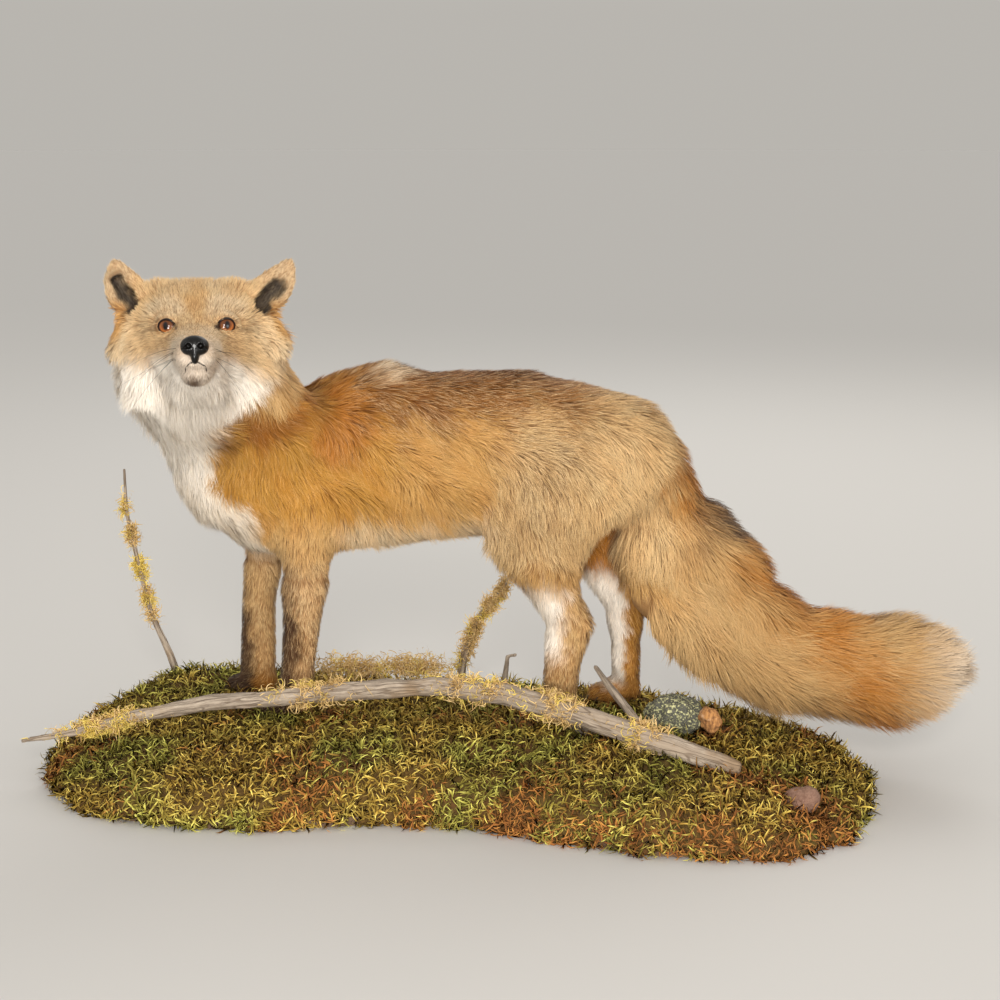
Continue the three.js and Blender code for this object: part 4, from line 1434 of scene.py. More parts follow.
def shape_tufts():
    """Corners and normals of all tufts, seven of each for every tuft."""
    count = len(roots)
    flat = unit(ways - (ways * root_normals).sum(1, keepdims=True) * root_normals)
    side = np.cross(root_normals, flat)
    turn = 0.3 * waves(roots, 70, 21) + 0.16 * waves(roots, 22, 22)
    turn = turn * ramp(lengths, 4, 20) + draw.normal(0, 0.16, count)
    flat, side = (
        np.cos(turn)[:, None] * flat + np.sin(turn)[:, None] * side,
        np.cos(turn)[:, None] * side - np.sin(turn)[:, None] * flat,
    )
    long = lengths * draw.uniform(0.72, 1.06, count)
    high = depths * draw.uniform(0.7, 0.98, count)
    run = np.sqrt(np.maximum(long ** 2 - high ** 2, 0.1))
    bend = draw.normal(0, 0.07, count) * long
    droop = 0.05 * np.maximum(lengths - 30, 0)
    tips = roots + run[:, None] * flat + high[:, None] * root_normals
    thickness, gathering = (
        np.array([row[i] for row in TUFTS.values()])[root_piece] for i in (1, 2)
    )
    gather = gathering * draw.uniform(0.3, 1, count)
    pull = (locks(tips) - tips) * gather[:, None]
    reach = norm(pull, axis=1)
    pull *= (np.minimum(reach, 0.25 * lengths) / np.maximum(reach, 1e-6))[:, None]
    half = thickness * draw.uniform(0.7, 1.3, count)
    roll = draw.normal(0, 0.5, count)
    breadth = np.cos(roll)[:, None] * side + np.sin(roll)[:, None] * root_normals
    scatter = draw.normal(0, 0.15, (count, 3))
    corners, normals = [], []
    for share, full in zip(STEPS, FULLNESS):
        spine = roots + (run * share)[:, None] * flat
        spine = spine + (high * (1.55 * share - 0.55 * share ** 2))[:, None] * root_normals
        spine = spine + (bend * share ** 2)[:, None] * side + pull * share ** 1.5
        spine[:, 2] -= droop * share ** 2
        for hand in ((1, -1) if full else (0,)):
            corners.append(spine + (hand * full * half)[:, None] * breadth)
            normals.append(unit(root_normals + 0.28 * hand * side + scatter + 0.15 * flat))
    return np.stack(corners, axis=1), np.stack(normals, axis=1)


tuft_corners, tuft_normals = shape_tufts()
print("tufts shaped:", tuft_corners.shape)

# %% [markdown]
# ### A place on the skin's map for each tuft
#
# When the model is exported its colours are baked onto flat maps. Each tuft needs a small
# patch of its own there, at its root's place on an unwrap of the skin. The unwrap sorts
# the skin by body part and by the way its surface faces, and lays each such sheet flat in
# its own cell.

# %% Unwrap the coat
ZONES = (      # a body part's lowest and highest corner, in mm
    ((-360, -190, 425), (-130, 60, 560)),   # head
    ((-360, -110, 215), (-100, 140, 470)),  # neck and breast
    ((-170, -60, 215), (60, 150, 450)),     # trunk
    ((0, -70, 215), (260, 160, 450)),       # hips
    ((-270, -20, 45), (-120, 50, 225)),     # left foreleg
    ((-270, 50, 45), (-120, 115, 225)),     # right foreleg
    ((30, -50, 45), (215, 50, 225)),        # left hind leg
    ((30, 50, 45), (215, 140, 225)),        # right hind leg
    ((185, -60, 40), (380, 140, 400)),      # tail
    ((330, -60, 40), (560, 130, 220)),      # brush
)
CELLS = 8      # cells along each edge of the map, one for each sheet
MARGIN = 0.04  # round the sheet in a cell, and the part that it fills
FILLED = 0.9


def root_map():
    """Each root's place on the unwrap of the skin."""
    zone = np.array([row[3] for row in TUFTS.values()])[root_piece]
    zone = np.where((zone == 4) & (roots[:, 1] > 50), 5, zone)
    zone = np.where((zone == 6) & (roots[:, 1] > 50), 7, zone)
    axis = np.abs(root_normals).argmax(axis=1)
    rows = np.arange(len(roots))
    facing = axis * 2 + (root_normals[rows, axis] > 0)
    low = np.array([corner[0] for corner in ZONES], np.float32)[zone]
    high = np.array([corner[1] for corner in ZONES], np.float32)[zone]
    share = np.clip((roots - low) / (high - low), 0, 1)
    flat_u = np.where(axis == 0, share[:, 1], share[:, 0])
    flat_v = np.where(axis == 2, share[:, 1], share[:, 2])
    cell = zone * 6 + facing
    room = 1 / CELLS
    u = (cell % CELLS + MARGIN + FILLED * flat_u) * room
    v = (cell // CELLS + MARGIN + FILLED * flat_v) * room
    return np.stack([u, v], axis=1)


root_uv = root_map()
print("roots fill the map up to", root_uv.max(0).round(3))

# %% Build the coat
PATCH = 0.003       # a tuft's share of the map, across
MOST_TUFTS = 39000  # in one piece, which keeps it under 200,000 triangles
ALONG = np.array([0.0, 0.0, 0.34, 0.34, 0.68, 0.68, 1.0], np.float32)
ACROSS = np.array([0.1, 0.9, 0.0, 1.0, 0.15, 0.85, 0.5], np.float32)
KEPT = {True: np.array([0, 1, 2, 3, 6]), False: np.arange(7)}  # corners of a short tuft


def sew(name, corners, normals, material, slot):
    """One piece of ribbons, out of an odd number of corners for each."""
    count = corners.shape[1]
    first = np.arange(len(corners))[:, None] * count
    quads = np.concatenate([
        first + [start, start + 1, start + 3, start + 2] for start in range(0, count - 3, 2)
    ])
    tips = first + [count - 3, count - 2, count - 1]
    piece = new_piece(name, corners.reshape(-1, 3), quads, material, slot, tips)
    note(piece, "custom_normal", normals.reshape(-1, 3))
    return piece


def unwrap(piece, places):
    """Gives a piece the map that its colours are baked to, from a place for each corner."""
    layer = piece.data.uv_layers.new(name="OFBake")
    loops = np.empty(len(piece.data.loops), np.int32)
    piece.data.loops.foreach_get("vertex_index", loops)
    layer.uv.foreach_set("vector", places[loops].astype(np.float32).ravel())


def build_coat():
    """One mesh for each stretch of coat, or several where it has too many tufts."""
    spread = np.stack([ACROSS, ALONG], axis=1) * PATCH
    marks = markings(roots)
    shade = draw.random(len(roots))
    tint = np.clip(0.5 + 0.5 * waves(roots, 26, 31) + draw.normal(0, 0.25, len(roots)), 0, 1)
    total = 0
    for number, stretch in enumerate(STROKES):
        kept = KEPT[stretch in SHORT]
        chosen = np.flatnonzero(root_piece == number)
        chosen = chosen[np.argsort(roots[chosen, 0], kind="stable")]
        parts = math.ceil(len(chosen) / MOST_TUFTS)
        for part, some in enumerate(np.array_split(chosen, parts), 1):
            name = f"coat_{stretch}" + (f"_{part}" if parts > 1 else "")
            piece = sew(name, tuft_corners[some][:, kept], tuft_normals[some][:, kept], fur,
                        "coat_red")
            keep_marks(piece, [row[some] for row in marks], len(kept))
            hair = np.broadcast_arrays(ALONG[kept], shade[some, None], tint[some, None])
            note(piece, "hair", np.stack(hair, axis=-1).reshape(-1, 3))
            unwrap(piece, (root_uv[some][:, None, :] + spread[kept]).reshape(-1, 2))
            total += len(some) * (len(kept) - 2)
    return total


print("coat:", build_coat(), "triangles")

# %% [markdown]
# ## Glass eyes
#
# A mounter sets glass eyes: a clear dome over a painted iris, held by thin black lids. The
# dome could be a shell of its own, but a glossy coat on one ball looks the same and bakes
# to a flat map without loss. The ball is made of rings round the pole that looks ahead,
# closest where the iris is painted.

# %% Rings and strands
def ring_quads(first, side, after, sides):
    """Faces between each ring of corners and the next, which starts `sides` further on."""
    return np.stack([
        first + side, first + after, first + sides + after, first + sides + side,
    ], axis=-1).reshape(-1, 4)


def strands(paths, radii, sides):
    """Tapered tubes, or ribbons with two sides, along many paths: corners and faces."""
    count, steps = paths.shape[:2]
    ahead = unit(np.gradient(paths, axis=1))
    helper = np.zeros_like(paths)
    flat = np.abs(ahead[:, :1]).argmin(axis=2)
    helper[np.arange(count)[:, None], np.arange(steps), flat] = 1.0
    across = unit(np.cross(ahead, helper))
    upward = np.cross(ahead, across)
    turn = np.arange(sides) * 2.0 * math.pi / sides
    ring = (np.cos(turn)[:, None] * across[:, :, None] + np.sin(turn)[:, None] * upward[:, :, None])
    corners = paths[:, :, None] + ring * np.broadcast_to(radii, (count, steps))[..., None, None]
    first = np.arange(count)[:, None, None] * steps * sides
    row = np.arange(steps - 1)[None, :, None] * sides
    side = np.arange(sides if sides > 2 else 1)[None, None, :]
    return corners.reshape(-1, 3), ring_quads(first + row, side, (side + 1) % sides, sides)


def smooth_path(points, steps):
    """A path through points, bent smoothly between them."""
    points = np.asarray(points, float)
    padded = np.concatenate([[2 * points[0] - points[1]], points, [2 * points[-1] - points[-2]]])
    place = np.linspace(0.0, len(points) - 1.0001, steps)
    start = place.astype(int)
    t = (place - start)[:, None]
    a, b, c, d = (padded[start + i] for i in range(4))
    return 0.5 * (2 * b + (c - a) * t + (2 * a - 5 * b + 4 * c - d) * t ** 2
                  + (3 * b - 3 * c + d - a) * t ** 3)


print("half way along a path:", smooth_path([(0, 0), (1, 1), (2, 0)], 3)[1].round(2))

# %% Glass eyes
GAZE_RINGS = np.radians([0.5, 6, 12, 18, 24, 30, 36, 42, 48, 54, 60, 68, 78, 95, 120, 150, 179])
GAZE_SIDES = 40


def glass_finish():
    """Painted iris under clear glass: a slit pupil, amber fibres, a dark edge, painted lid shade
    above and painted light below.
    """
    finish = Finish("eye_glass", Roughness=0.3, Specular_IOR_Level=0.1,
                    Coat_Weight=1, Coat_Roughness=0.015, Coat_IOR=1.38)
    reach, aside, high = finish.kept("gaze")
    place = finish.add("ShaderNodeCombineXYZ", None, {0: aside, 1: high, 2: reach * 0.1})
    fibres = finish.noise(0.3 / MM, detail=4, place=place, stretch=(2, 2, 1))
    ring = finish.add(
        "ShaderNodeValToRGB",
        {"stops": [(0, (0.04, 0.01, 0.003)), (0.28, (0.08, 0.022, 0.005)),
                   (0.5, (0.18, 0.054, 0.01)), (0.62, (0.08, 0.022, 0.006)),
                   (0.7, (0.01, 0.006, 0.004))]},
        {0: reach},
    )
    # painted shade of the upper lid darkens the iris's top, and painted light brightens its lower,
    # outer part
    painted_lid_shade_and_light = (high * -0.7 + aside * 0.35 + 0.1).step(-0.35, 0.55)
    iris = ring * (fibres * 0.9 + 0.55) * (painted_lid_shade_and_light * 1.4 + 0.55)
    slit = (aside * aside * 16 + high * high * 5) ** 0.5
    pupil = slit.step(1.05, 0.55)
    finish.feed("Base Color", finish.mix(iris, (0.002, 0.001, 0.001), pupil))
    return finish.material


def glass_eye(name, middle, hand, material):
    """One glass eye, as a ball whose pole looks ahead."""
    look, outer, up = eye_axes(hand)
    turn = np.arange(GAZE_SIDES) * 2.0 * math.pi / GAZE_SIDES
    aside = np.sin(GAZE_RINGS)[:, None] * np.cos(turn)
    high = np.sin(GAZE_RINGS)[:, None] * np.sin(turn)
    ahead = np.repeat(np.cos(GAZE_RINGS)[:, None], GAZE_SIDES, axis=1)
    axes = np.stack([outer, up, look])
    if hand > 0:
        high = -high
    corners = middle + EYE_RADIUS * np.stack([aside, high, ahead], axis=-1) @ axes
    first = np.arange(len(GAZE_RINGS) - 1)[:, None] * GAZE_SIDES
    side = np.arange(GAZE_SIDES)
    quads = ring_quads(first, side, (side + 1) % GAZE_SIDES, GAZE_SIDES)
    piece = new_piece(name, corners.reshape(-1, 3), quads[:, ::-1], material, "eye_glass")
    reach = np.sqrt(aside ** 2 + high ** 2)
    note(piece, "gaze", np.stack([reach, aside, high], axis=-1).reshape(-1, 3))
    return piece


glass = glass_finish()
for name, middle, hand in (("eye_left", eye_left, 1), ("eye_right", eye_right, -1)):
    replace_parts(glass_eye(name, middle, hand, glass), f"fox_{name}")
print("two glass eyes,", 2 * EYE_RADIUS, "mm across")

# %% [markdown]
# ### Lids and lips
#
# The edges of the lids and the line of the lips are bare black skin, a millimetre or two
# broad. Paint on the skin would do, but it would blur into the fur, so each is a thin tube
# that follows the edge, with the pebbled look of leather.

# %% Bare skin
def leather_finish(name, colour, roughness, coat):
    """Bare dark skin with a fine pebble."""
    finish = Finish(name, Roughness=roughness, Coat_Weight=coat, Coat_Roughness=0.07,
                    Specular_IOR_Level=0.12)
    pebble = finish.add("ShaderNodeTexVoronoi", {"feature": "DISTANCE_TO_EDGE"},
                        {"Vector": finish.add("ShaderNodeTexCoord", output="Object"),
                         "Scale": 0.9 / MM})
    seams = pebble.step(0, 0.22)
    fine = finish.noise(0.35)
    finish.feed("Base Color", finish.mix(tuple(0.5 * c for c in colour), colour, seams * fine * 1.6))
    finish.bump(seams * 0.7 + fine * 0.3, 0.1)
    return finish.material


leather = leather_finish("nose_leather", (0.005, 0.004, 0.003), 0.28, 0.3)
lid_skin = leather_finish("lid_skin", (0.018, 0.01, 0.008), 0.45, 0.25)
print("finishes", leather.name, "and", lid_skin.name)

# %% Lids, and the dark line of the lips
LID_RIM = 1.05                       # radius of the tube along a lid
LID_BREADTHS = (1.25, 0.85)          # of the upper and the lower lid
RIM_PLACES = 28
LIP_RIM = (0.2, 0.6, 1.5, 0.8, 0.3)  # radii along the lips
LIP_PLACES = 60


def lid_rim(middle, hand):
    """Two paths along the edges of the lids, upper and lower."""
    look, outer, up = eye_axes(hand)
    sideways = np.linspace(-SLIT_WIDE * 1.22, SLIT_WIDE * 1.02, RIM_PLACES)
    paths = []
    for sign in (1, -1):
        height = sign * np.maximum(slit_height(sideways), 0)
        ahead = np.sqrt(np.maximum((EYE_RADIUS + 0.5) ** 2 - sideways ** 2 - height ** 2, 1))
        paths.append(
            middle + sideways[:, None] * outer + height[:, None] * up + ahead[:, None] * look
        )
    return np.stack(paths)


def settle(points):
    """The nearest corners of the head's skin."""
    near = norm(head_corners - BROW - 40 * FORWARD, axis=1) < 90
    corners = head_corners[near]
    return np.array([corners[((corners - p) ** 2).sum(1).argmin()] for p in points])


rims = np.concatenate([lid_rim(eye_left, 1), lid_rim(eye_right, -1)])
taper = np.sin(np.linspace(0.15, math.pi - 0.15, RIM_PLACES)) ** 0.4
breadths = np.array(LID_BREADTHS * 2)[:, None]
new_piece("lid_rims", *strands(rims, LID_RIM * taper * breadths, 6), lid_skin, "nose_leather")

whole_lip = [(forward, -left, crown) for forward, left, crown in LIP[4:0:-1]] + list(LIP[:5])
lip_line = settle(smooth_path([head_place(*place) for place in whole_lip], LIP_PLACES))
for _ in range(3):
    lip_line[1:-1] = 0.25 * lip_line[:-2] + 0.5 * lip_line[1:-1] + 0.25 * lip_line[2:]
lip_radius = np.interp(np.linspace(-1, 1, LIP_PLACES), (-1.0, -0.55, 0.0, 0.55, 1.0), LIP_RIM)
new_piece("lips", *strands(lip_line[None], lip_radius, 6), lid_skin, "nose_leather")

# %% [markdown]
# ### Nose leather
#
# The nose is wet, pebbled leather, with nostrils that open to the side, the groove between
# them, and the dark wedge that runs down to the lips. A bump alone would leave its outline
# a plain ball, so it is modelled in a clay of its own, twice as fine as the head's.

# %% Nose leather
NOSE_STEP = 0.6


def nose_skin():
    """The nose pad with its nostrils, on axes from its own middle."""
    clay = Clay(nose_tip - 22.0, nose_tip + 22.0, NOSE_STEP)
    places = on_head(clay.points()) - on_head(nose_tip)
    pad = ball(places, (-1, 0, 1), (8, 12.8, 9.2))
    pad = join(pad, ball(places, (1.5, 0, -8), (6, 4.2, 9)), 3.5)
    for hand in (1, -1):
        pad = join(pad, ball(places, (0.5, hand * 6.8, -1), (6.6, 6, 7)), 2.5)
        pad = join(pad, ball(places, (4, hand * 5.8, 0), (4.6, 4.4, 4.4)), 1.5)
        pad = carve(pad, ball(places, (8, hand * 5.8, -0.4), (6, 3.1, 2.9)), 1)
        pad = carve(pad, bar(places, (6.5, hand * 7.5, -1.4), (1, hand * 14, -3.6), 0.9), 1.4)
    pad = carve(pad, bar(places, (9.6, 0, 3), (9, 0, -14), 0.7), 1.8)
    return clay.surface(pad)


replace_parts(new_piece("nose", *nose_skin(), leather, "nose_leather"), "fox_nose")

# %% [markdown]
# ### Whiskers and claws
#
# A mounter keeps the real whiskers and claws. Curves with a bevel would make both, but the
# strands that made the lids already taper along a path, so they serve here as well.

# %% Whiskers
WHISKER_STEPS = 7
WHISKER_SEED = 9
DOWN = np.array([0.0, 0.0, -1.0])


def whisker_paths():
    """Whiskers from the pads of the muzzle, swept back and drooping."""
    draw = np.random.default_rng(WHISKER_SEED)
    paths = []
    for hand, longest in ((1, 44), (-1, 66)):
        for row, crown in enumerate((-28, -35)):
            for forward in (58, 51, 44) if hand < 0 else (57, 48):
                start = settle([head_place(forward, hand * (62 - forward + 9), crown)])[0]
                away = head_way(
                    draw.uniform(-0.6, -0.1), hand * draw.uniform(0.8, 1.1),
                    draw.uniform(-0.75, -0.05) - 0.12 * row,
                )
                sag = draw.uniform(0.1, 0.3)
                share = np.linspace(-0.05, 1.0, WHISKER_STEPS)[:, None]
                long = longest * draw.uniform(0.55, 1)
                paths.append(start + long * (share * away + sag * share ** 2 * DOWN))
    return np.stack(paths)


whisker_radius = np.linspace(0.24, 0.05, WHISKER_STEPS)
new_piece("whiskers", *strands(whisker_paths(), whisker_radius, 3), lid_skin, "coat_dark")

# %% Claws
CLAW_STEPS = 6


def claw_paths():
    """A short curved claw on every toe."""
    share = np.linspace(0.0, 1.0, CLAW_STEPS)[:, None]
    return np.stack([
        toe_place(paw, ahead + 6.5, aside, 9)
        + share * (-10.5, 0, 0) + share ** 2 * (1.5, 0, -8)
        for paw in PAWS for ahead, aside in TOES
    ])


def horn_finish():
    """Dark claw horn, streaked along its length."""
    finish = Finish("claw_horn", Roughness=0.35, Coat_Weight=0.3, Coat_Roughness=0.2)
    streak = finish.noise(1.2, stretch=(0.25, 1, 1))
    finish.feed("Base Color", finish.mix((0.035, 0.026, 0.02), (0.16, 0.11, 0.07), streak))
    return finish.material


claw_radius = 1.7 * np.linspace(1.0, 0.02, CLAW_STEPS) ** 0.7
new_piece("claws", *strands(claw_paths(), claw_radius, 8), horn_finish(), "claw_horn")

# %% [markdown]
# ## The habitat base
#
# The base is a board heaped with dried sheet moss. Sheet moss is a mat of curling fronds
# as long as a fingernail, yellow-green at their tips and brown where they died. The mat is
# a clay made from the CAD moss, sunk by the length of the fronds, and curled ribbons grow
# from it to about the solid's surface. A bumped surface alone would read as carpet.

# %% The look of moss
def moss_finish(name, fronds):
    """Moss: dark below, partly dead brown and partly painted shade deep in the mat, yellow-green at
    the tips, with rusty and with deep green patches.
    """
    finish = Finish(name, Roughness=0.85, Specular_IOR_Level=0.15)
    if fronds:
        along, shade, rust = finish.kept("frond")
    else:
        shade = finish.noise(9)
        rust = finish.noise(60).step(0.5, 0.62)
        # the mat stays near the fronds' dark feet: painted shade of the depth between the fronds
        along = shade * 0.2
    green = finish.noise(75, detail=1).step(0.42, 0.66)
    olive = finish.mix((0.275, 0.165, 0.024), (0.185, 0.165, 0.024), green)
    body = finish.mix(olive, (0.25, 0.092, 0.022), rust)
    pale = finish.mix((0.71, 0.555, 0.13), (0.6, 0.57, 0.13), green)
    tip = finish.mix(pale, (0.43, 0.205, 0.045), rust)
    # dark at the fronds' feet: partly dead brown moss, partly painted shade deep in the mat
    colour = finish.mix((0.07, 0.038, 0.012), body, along.step(0, 0.5))
    colour = finish.mix(colour, tip, along.step(0.35, 1) * (shade * 0.9 + 0.1))
    finish.feed("Base Color", colour * (shade * 0.8 + 0.65))
    return finish.material


mat_moss = moss_finish("moss_mat", False)
frond_moss = moss_finish("moss_fronds", True)
print("finishes", mat_moss.name, "and", frond_moss.name)

# %% The mat of moss
FROND_SINK = 6  # how far the mat lies below the top of the CAD moss


def moss_ground():
    """The mat that the fronds grow from, which reaches down to the table."""
    clay = clay_over(("base_moss",), 7.0)
    places = clay.points()
    form = clay.from_nodes(("base_moss", "base_board"), 20) + FROND_SINK
    heaps = waves(places, 46, 41) * 2.4 + waves(places, 18, 42) * 1.4
    form = soften(form, 1) + heaps
    corners, quads = clay.surface(form)
    low = 1 - ramp(corners[:, 2], 8, 26)
    corners[:, 2] = np.maximum(corners[:, 2] - FROND_SINK * low, 0)
    outward = unit(corner_normals(corners, quads) * (1, 1, 0))
    return corners + (0.7 * FROND_SINK * low)[:, None] * outward, quads


mat_corners, mat_quads = moss_ground()
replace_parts(new_piece("moss_mat", mat_corners, mat_quads, mat_moss, "moss"), "base_moss")

# %% The shape of the fronds
FRONDS = 43000
FROND_SEED = 15
FROND_CURL = 3.4  # how far the curliest turns over its length, in radians
FROND_STEPS = (0, 0.34, 0.68, 1)
FROND_BREADTHS = (0.6, 1, 0.8, 0)
LOWEST_ROOT = 1.5


def grow(corners, quads):
    """Roots strewn over a mesh by area, their normals, and the draw for later."""
    draw_moss = np.random.default_rng(FROND_SEED)
    normals = corner_normals(corners, quads)
    a, b, c, d = (corners[quads[:, i]] for i in range(4))
    area = norm(np.cross(c - a, d - b), axis=1)
    rise = normals[quads[:, 0], 2]
    area = area * (1 + 1.3 * (1 - ramp(rise, 0.2, 0.8))) * (rise > -0.6)
    area = area * (corners[quads].mean(1)[:, 2] > LOWEST_ROOT)
    chosen = draw_moss.choice(len(quads), FRONDS, p=area / area.sum())
    u, v = draw_moss.random((2, FRONDS, 1))
    chosen_quads = quads[chosen]

    def blend(values):
        a, b, c, d = (values[chosen_quads[:, i]] for i in range(4))
        return (a * (1 - u) + b * u) * (1 - v) + (d * (1 - u) + c * u) * v

    return blend(corners), unit(blend(normals)), draw_moss


def frond_mesh(places, facings, draw_moss):
    """Curled ribbons of three lengths: corners and normals, seven for each frond."""
    long = draw_moss.uniform(10, 21, FRONDS)
    half = draw_moss.uniform(0.5, 1.15, FRONDS)
    tilt = unit(draw_moss.normal(size=(FRONDS, 3)))
    steep = 1 - ramp(facings[:, 2], 0.2, 0.8)
    heading = unit(facings + 0.9 * tilt + np.outer(0.2 - 0.8 * steep, (0.0, 0.0, 1.0)))
    bend = unit(np.cross(heading, unit(draw_moss.normal(size=(FRONDS, 3)))))
    side = unit(np.cross(heading, bend) + 0.4 * draw_moss.normal(size=(FRONDS, 3)))
    swing = draw_moss.uniform(0.3, 1, FRONDS)[:, None] * FROND_CURL
    spine = places
    corners, normals = [], []
    for share, full in zip(FROND_STEPS, FROND_BREADTHS):
        if share:
            way = np.cos(swing * share) * heading + np.sin(swing * share) * bend
            spine = spine + way * (long / 3)[:, None]
            spine[:, 2] = np.maximum(spine[:, 2], half)  # fronds lie on the table's top
        for hand in ((1, -1) if full else (0,)):
            corners.append(spine + (hand * full * half)[:, None] * side)
            normals.append(unit(facings + 0.55 * tilt + 0.5 * hand * side + 0.4 * bend))
    return np.stack(corners, axis=1), np.stack(normals, axis=1)


frond_places, frond_facings, draw_moss = grow(mat_corners, mat_quads)
frond_corners, frond_normals = frond_mesh(frond_places, frond_facings, draw_moss)
print("fronds shaped:", frond_corners.shape)

# %% Plant the fronds
def rusty(places):
    """Where the moss has died: in patches, along the front edge, and round the right end."""
    front = 1 + ramp(places[:, 0], 60, 160)
    front = front * ramp(-places[:, 1], 120, 190) * (1 - ramp(places[:, 2], 20, 55))
    right = ramp(places[:, 0], 230, 300) * ramp(-places[:, 1], 60, 110)
    patch = waves(places, 95, 43) + 0.6 * waves(places, 30, 44) + 0.75 * front + 0.9 * right
    return ramp(patch + draw_moss.normal(0, 0.35, FRONDS), 0.9, 1.9)


rust = rusty(frond_places)
shade = np.clip(draw_moss.random(FRONDS) + 0.3 * waves(frond_places, 26, 45), 0, 1)
frond_notes = np.stack(np.broadcast_arrays(ALONG, shade[:, None], rust[:, None]), axis=-1)
for part, some in enumerate(np.array_split(np.arange(FRONDS), 2), 1):
    piece = sew(f"moss_fronds_{part}", frond_corners[some], frond_normals[some], frond_moss,
                "moss")
    note(piece, "frond", frond_notes[some].reshape(-1, 3))
print(FRONDS, "fronds,", round(100 * rust.mean()), "% of them rusty")

# %% [markdown]
# ### Driftwood and twigs
#
# The branch is weathered grey, without bark. Its grain runs along it and opens into fine
# cracks, with a knot on its right half. Noise along the model's axes would cut across a
# bend, so each piece of wood keeps, for its material, how far along it a corner lies and
# how far off its own middle line, and the grain follows every bend.

# %% The look of driftwood
def wood_finish():
    """Silvered wood: grey-brown, streaked along the grain, dark in its cracks."""
    finish = Finish("driftwood", Roughness=0.82, Specular_IOR_Level=0.2)
    along, aside, high = finish.kept("grain")
    place = finish.add("ShaderNodeCombineXYZ", None, {0: along * 0.1, 1: aside, 2: high})
    streak = finish.noise(2.4, detail=5, roughness=0.75, place=place)
    broad = finish.noise(17, detail=2, place=place)
    patch = finish.noise(60)
    cracks = finish.noise(7, detail=1, place=place)
    open_crack = ((cracks - 0.5) * (cracks - 0.5)).step(0.0005, 0)
    colour = finish.mix((0.2, 0.155, 0.115), (0.45, 0.37, 0.285), streak.step(0.32, 0.68))
    colour = finish.mix(colour, (0.31, 0.235, 0.165), broad.step(0.45, 0.7) * 0.6)
    colour = finish.mix(colour, colour * (0.78, 0.68, 0.56), patch.step(0.54, 0.68))
    finish.feed("Base Color", finish.mix(colour, (0.12, 0.08, 0.05), open_crack * 0.6))
    finish.bump(streak * 0.6 + (1 - open_crack) * 0.6, 1.1)
    return finish.material


wood = wood_finish()
print("finish", wood.name)

# %% Carve the wood
WOOD = {  # each rod, and the grid of its clay in mm
    "branch_main": 2.6,
    "branch_side_twig": 1.2,
    "twig_upright": 1.0,
    "twig_middle": 1.0,
    "twig_curled": 1.0,
}
KNOT = (226, -78, 66)


def middle_line(corners, reach):
    """How far along a rod each corner lies, and how far off its middle line, in mm."""
    axis = int(np.ptp(corners, axis=0).argmax())
    others = [i for i in range(3) if i != axis]
    edges = np.arange(corners[:, axis].min(), corners[:, axis].max() + reach, reach)
    box = np.clip(np.digitize(corners[:, axis], edges) - 1, 0, len(edges) - 2)
    count = np.maximum(np.bincount(box, minlength=len(edges) - 1), 1)
    centre = edges[:-1] + reach / 2
    off = [
        corners[:, i] - np.interp(
            corners[:, axis], centre, np.bincount(box, corners[:, i], len(edges) - 1) / count)
        for i in others
    ]
    return np.stack([corners[:, axis], *off], axis=1)


def carve_wood(name, step, material):
    """A CAD rod with grooves along its grain."""
    clay = clay_over((name,), step)
    form = soften(clay.from_nodes((name,), 8), 1)
    corners, quads = clay.surface(form)
    grain = middle_line(corners, 12)
    normals = corner_normals(corners, quads)
    stretched = grain * (0.12, 1, 1)
    size = norm(grain[:, 1:], axis=1)
    groove = waves(stretched, 5.5, 51) * 0.35 + waves(stretched, 12, 52) * 0.5
    bumps = waves(corners, 60, 53) * 0.5
    move = (groove + bumps) * np.minimum(size / 8, 1)
    if name == "branch_main":
        apart = norm(corners - KNOT, axis=1)
        move += 3 * np.exp(-(apart / 9) ** 2) - 4.5 * np.exp(-(apart / 4) ** 2)
    piece = new_piece(name.replace("branch_main", "branch"), corners + normals * move[:, None],
                      quads, material, "driftwood")
    note(piece, "grain", grain * MM)
    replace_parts(piece, name)
    return corners, normals


wood_skins = {name: carve_wood(name, step, wood) for name, step in WOOD.items()}

# %% [markdown]
# ### Stones, bark and board
#
# Three fieldstones lie in the moss, the largest crusted with pale map lichen, next to a
# chip of rusty bark. Each starts from its CAD solid, is worn round and is dented by waves.
# The board below them is seen only from underneath, so its solid stays and is stained.

# %% The looks of stone, bark and board
def stone_finish(name, dark, pale, crust):
    """Rough grey stone, with specks of a pale crust where crust is above 0."""
    finish = Finish(name, Roughness=0.88)
    grains = finish.noise(2.2, detail=5, roughness=0.7)
    broad = finish.noise(16)
    colour = finish.mix(dark, pale, grains.step(0.35, 0.65) * 0.6 + broad * 0.4)
    specks = finish.noise(3.4, detail=6, roughness=0.75).step(0.5, 0.56) * crust
    finish.feed("Base Color", finish.mix(colour, (0.6, 0.58, 0.3), specks))
    finish.bump(grains * 0.5 + specks * 0.6, 1.2)
    return finish.material


def bark_finish():
    """A rusty, fibrous chip of bark."""
    finish = Finish("bark", Roughness=0.92)
    fibre = finish.noise(3.5, detail=5, roughness=0.7, stretch=(1, 1, 0.3))
    flakes = finish.noise(11)
    colour = finish.mix((0.16, 0.065, 0.022), (0.56, 0.265, 0.085), fibre.step(0.32, 0.66))
    finish.feed("Base Color", finish.mix(colour, (0.6, 0.36, 0.2), flakes.step(0.55, 0.75)))
    finish.bump(fibre, 2.5)
    return finish.material


def board_finish():
    """A sawn softwood board with a brown stain."""
    finish = Finish("stained_board", Roughness=0.75)
    grain = finish.noise(8, detail=4, stretch=(0.05, 1, 0.6))
    finish.feed("Base Color", finish.mix((0.06, 0.032, 0.016), (0.165, 0.095, 0.048), grain))
    finish.bump(grain, 0.4)
    return finish.material


